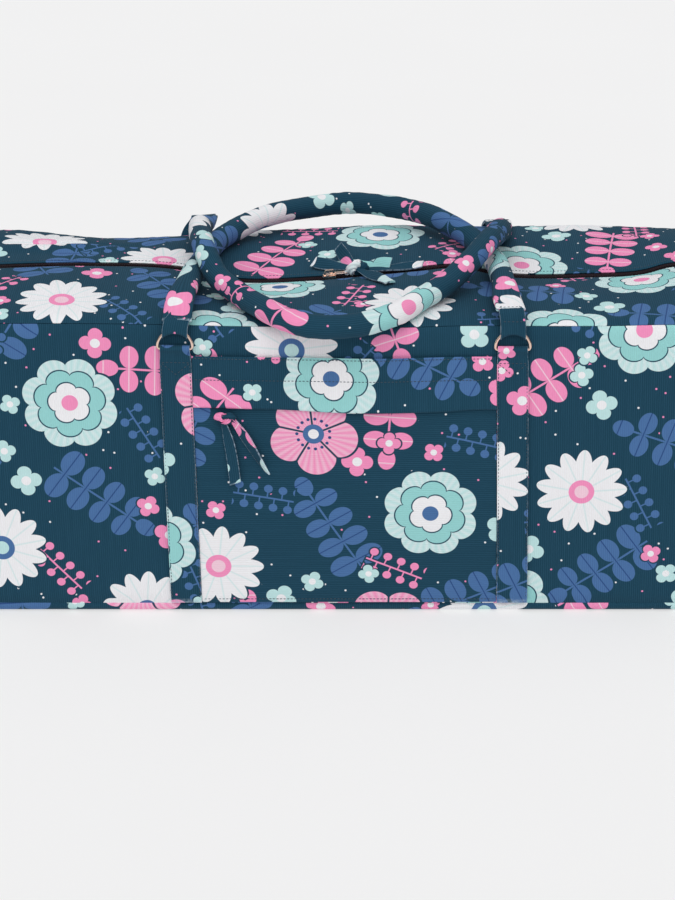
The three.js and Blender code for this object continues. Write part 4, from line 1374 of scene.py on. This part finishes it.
def handle(face_name, face, cut_from):
    line = handle_line(face_name)
    run = lengths_along(line)
    ahead = unit(np.gradient(line, axis=0))
    inward = np.where(run < run[-1] / 2, -face, face)
    heading = unit(np.stack([ahead[:, 0], ahead[:, 1] + inward * ahead[:, 2] ** 2, 0 * run], axis=-1))
    level = np.cross(heading, (0, 0, 1))
    over = unit(np.cross(level, ahead))
    stuffed = ease(np.minimum(run, run[-1] - run) / HANDLE_TAPER)
    half_width = END_HALF_WIDTH + (HANDLE_RADIUS - END_HALF_WIDTH) * stuffed
    half_thick = END_HALF_THICK + (HANDLE_RADIUS - END_HALF_THICK) * stuffed
    bend = np.linalg.norm(np.gradient(ahead, axis=0), axis=1) / np.gradient(run)

    def place(u, v):
        row = np.clip(np.searchsorted(run, v - 1e-6), 0, len(run) - 1)
        angle = u / HANDLE_RADIUS - math.pi / 2
        from_end = np.minimum(v, run[-1] - v)
        shut = (from_end < 0)[:, None]
        ripples = np.sin(v * 0.55 + 1.3 * np.sin(angle) + 2 * np.sin(v * 0.06))
        creases = CREASE_HEIGHT * ripples * np.clip(bend[row] * 40, 0.15, 1)
        from_seam = np.abs(angle - math.pi / 2) - math.pi
        seam = -SEAM_DEPTH * np.exp(-((from_seam / SEAM_HALF_ANGLE) ** 2))
        bumps = creases + seam + unevenness(u * 0.8, v, 91 + face, LUMP_HEIGHT, LUMP_WAVE)
        swell = 1 + bumps * stuffed[row] / HANDLE_RADIUS
        squareness = 0.5 + 0.5 * stuffed[row]
        aside = np.sign(np.cos(angle)) * np.abs(np.cos(angle)) ** squareness * half_width[row] * swell
        pleats = PLEAT_HEIGHT * np.sin(1.15 * aside + 0.04 * v) * fade(from_end, PLEAT_REACH)
        thick = half_thick[row] * swell + pleats * np.clip(from_end / PLEAT_START, 0, 1)
        rise = np.sign(np.sin(angle)) * np.abs(np.sin(angle)) ** squareness * thick
        ragged = FRAY * np.sin(1.9 * u) * (np.abs(from_end) < 0.1)
        forward = line[row] + ragged[:, None] * ahead[row]
        outline = aside[:, None] * level[row] + rise[:, None] * over[row]
        return forward + np.where(shut, 0, outline)
    round_it = np.linspace(0, 2 * math.pi, HANDLE_SIDES + 1) * HANDLE_RADIUS
    rows_of_cloth = np.concatenate([[-END_HALF_THICK], run, [run[-1] + END_HALF_THICK]])
    roll = roll_of_cloth(f"handle_{face_name}_roll", round_it, rows_of_cloth, place, cut_from)
    finish_piece(roll, canvas, "canvas", f"handle_{face_name}")

    rows = []
    for (side_name, side), end_row, inner_row in zip(sides, (0, -1), (1, -2)):
        middle, bar, depth, rise = ring_frame(face, side)
        bow = middle + rise * RING_RISE
        path = tab_path(bow, rise, line[end_row], unit(line[4 * inner_row - end_row] - line[end_row]))
        tab(f"handle_{face_name}_{side_name}", face, path, bar, rise, TAB_CUTS[side_name])
        end_place = (line[inner_row], level[inner_row], over[inner_row])
        rows += rows_across(*end_place, END_HALF_WIDTH, END_HALF_THICK + 0.1)
        if np.linalg.norm(line[end_row] - bow) > TAB_ROW_UP + TAB_ROW_ROOM:
            tab_middle = points_at(np.array([TAB_ROW_UP]), lengths_along(path), path)
            rows += rows_across(tab_middle, bar, depth, TAB_HALF, TAB_ROW_OUT)
    sew(f"handle_{face_name}_stitching", rows)


handle("front", -1, (0.82, 0.1))
handle("back", 1, (2.35, 0.55))

# Floor, light and camera. A pale floor that glows a little, as a backlit sheet does, so that the bag stands
# on it with hardly a shadow. The sky is bright overhead, two broad soft lights come from above the front, and
# the camera has a long lens.
FLOOR_SIZE = 24.0
FLOOR_GLOW = 0.565
PAPER = linear(156, 156, 156)
PALE_PAPER = linear(160, 160, 160)
HORIZON = (0.14, 0.14, 0.145, 1)
ZENITH = (0.78, 0.78, 0.79, 1)

bpy.ops.object.select_all(action="DESELECT")
bpy.ops.mesh.primitive_plane_add(size=FLOOR_SIZE, location=(0, 0, 0))
floor = bpy.context.object
floor.name = "studio_floor"
paper, sheet = mottled("pale_paper", PAPER, PALE_PAPER, 2.0, 0.9)
sheet.inputs["Emission Color"].default_value = (1, 1, 1, 1)
sheet.inputs["Emission Strength"].default_value = FLOOR_GLOW
floor.data.materials.append(paper)

studio = bpy.data.worlds.new("studio")
studio.use_nodes = True
sky = studio.node_tree
toward = sky.nodes.new("ShaderNodeTexCoord")
_, _, height = parts_of(toward.outputs["Generated"], "ShaderNodeSeparateXYZ")
join(sky, ink(height.reckon("MAXIMUM", 0.0), HORIZON, ZENITH), sky.nodes["Background"].inputs["Color"])
bpy.context.scene.world = studio
bpy.context.scene.view_settings.view_transform = "Standard"

# Columns: name, turn from straight down in degrees about X, Y and Z, strength, width of the light in the sky
SOFT_LIGHTS = (
    ("key_light", (40, -10, 0), 1.2, 60),
    ("fill_light", (50, 40, 0), 0.15, 80),
)
for name, turn, strength, width in SOFT_LIGHTS:
    bpy.ops.object.light_add(type="SUN", rotation=[math.radians(angle) for angle in turn])
    lamp = bpy.context.object
    lamp.name = name
    lamp.data.energy = strength
    lamp.data.angle = math.radians(width)

CAMERA_AT = (-0.0102, -2.038, 0.816)
LOOK_DOWN = 19.3
bpy.ops.object.camera_add(location=CAMERA_AT, rotation=(math.radians(90 - LOOK_DOWN), 0, 0))
camera = bpy.context.object
camera.data.lens = 95.0
camera.data.sensor_width = 36.0
bpy.context.scene.camera = camera
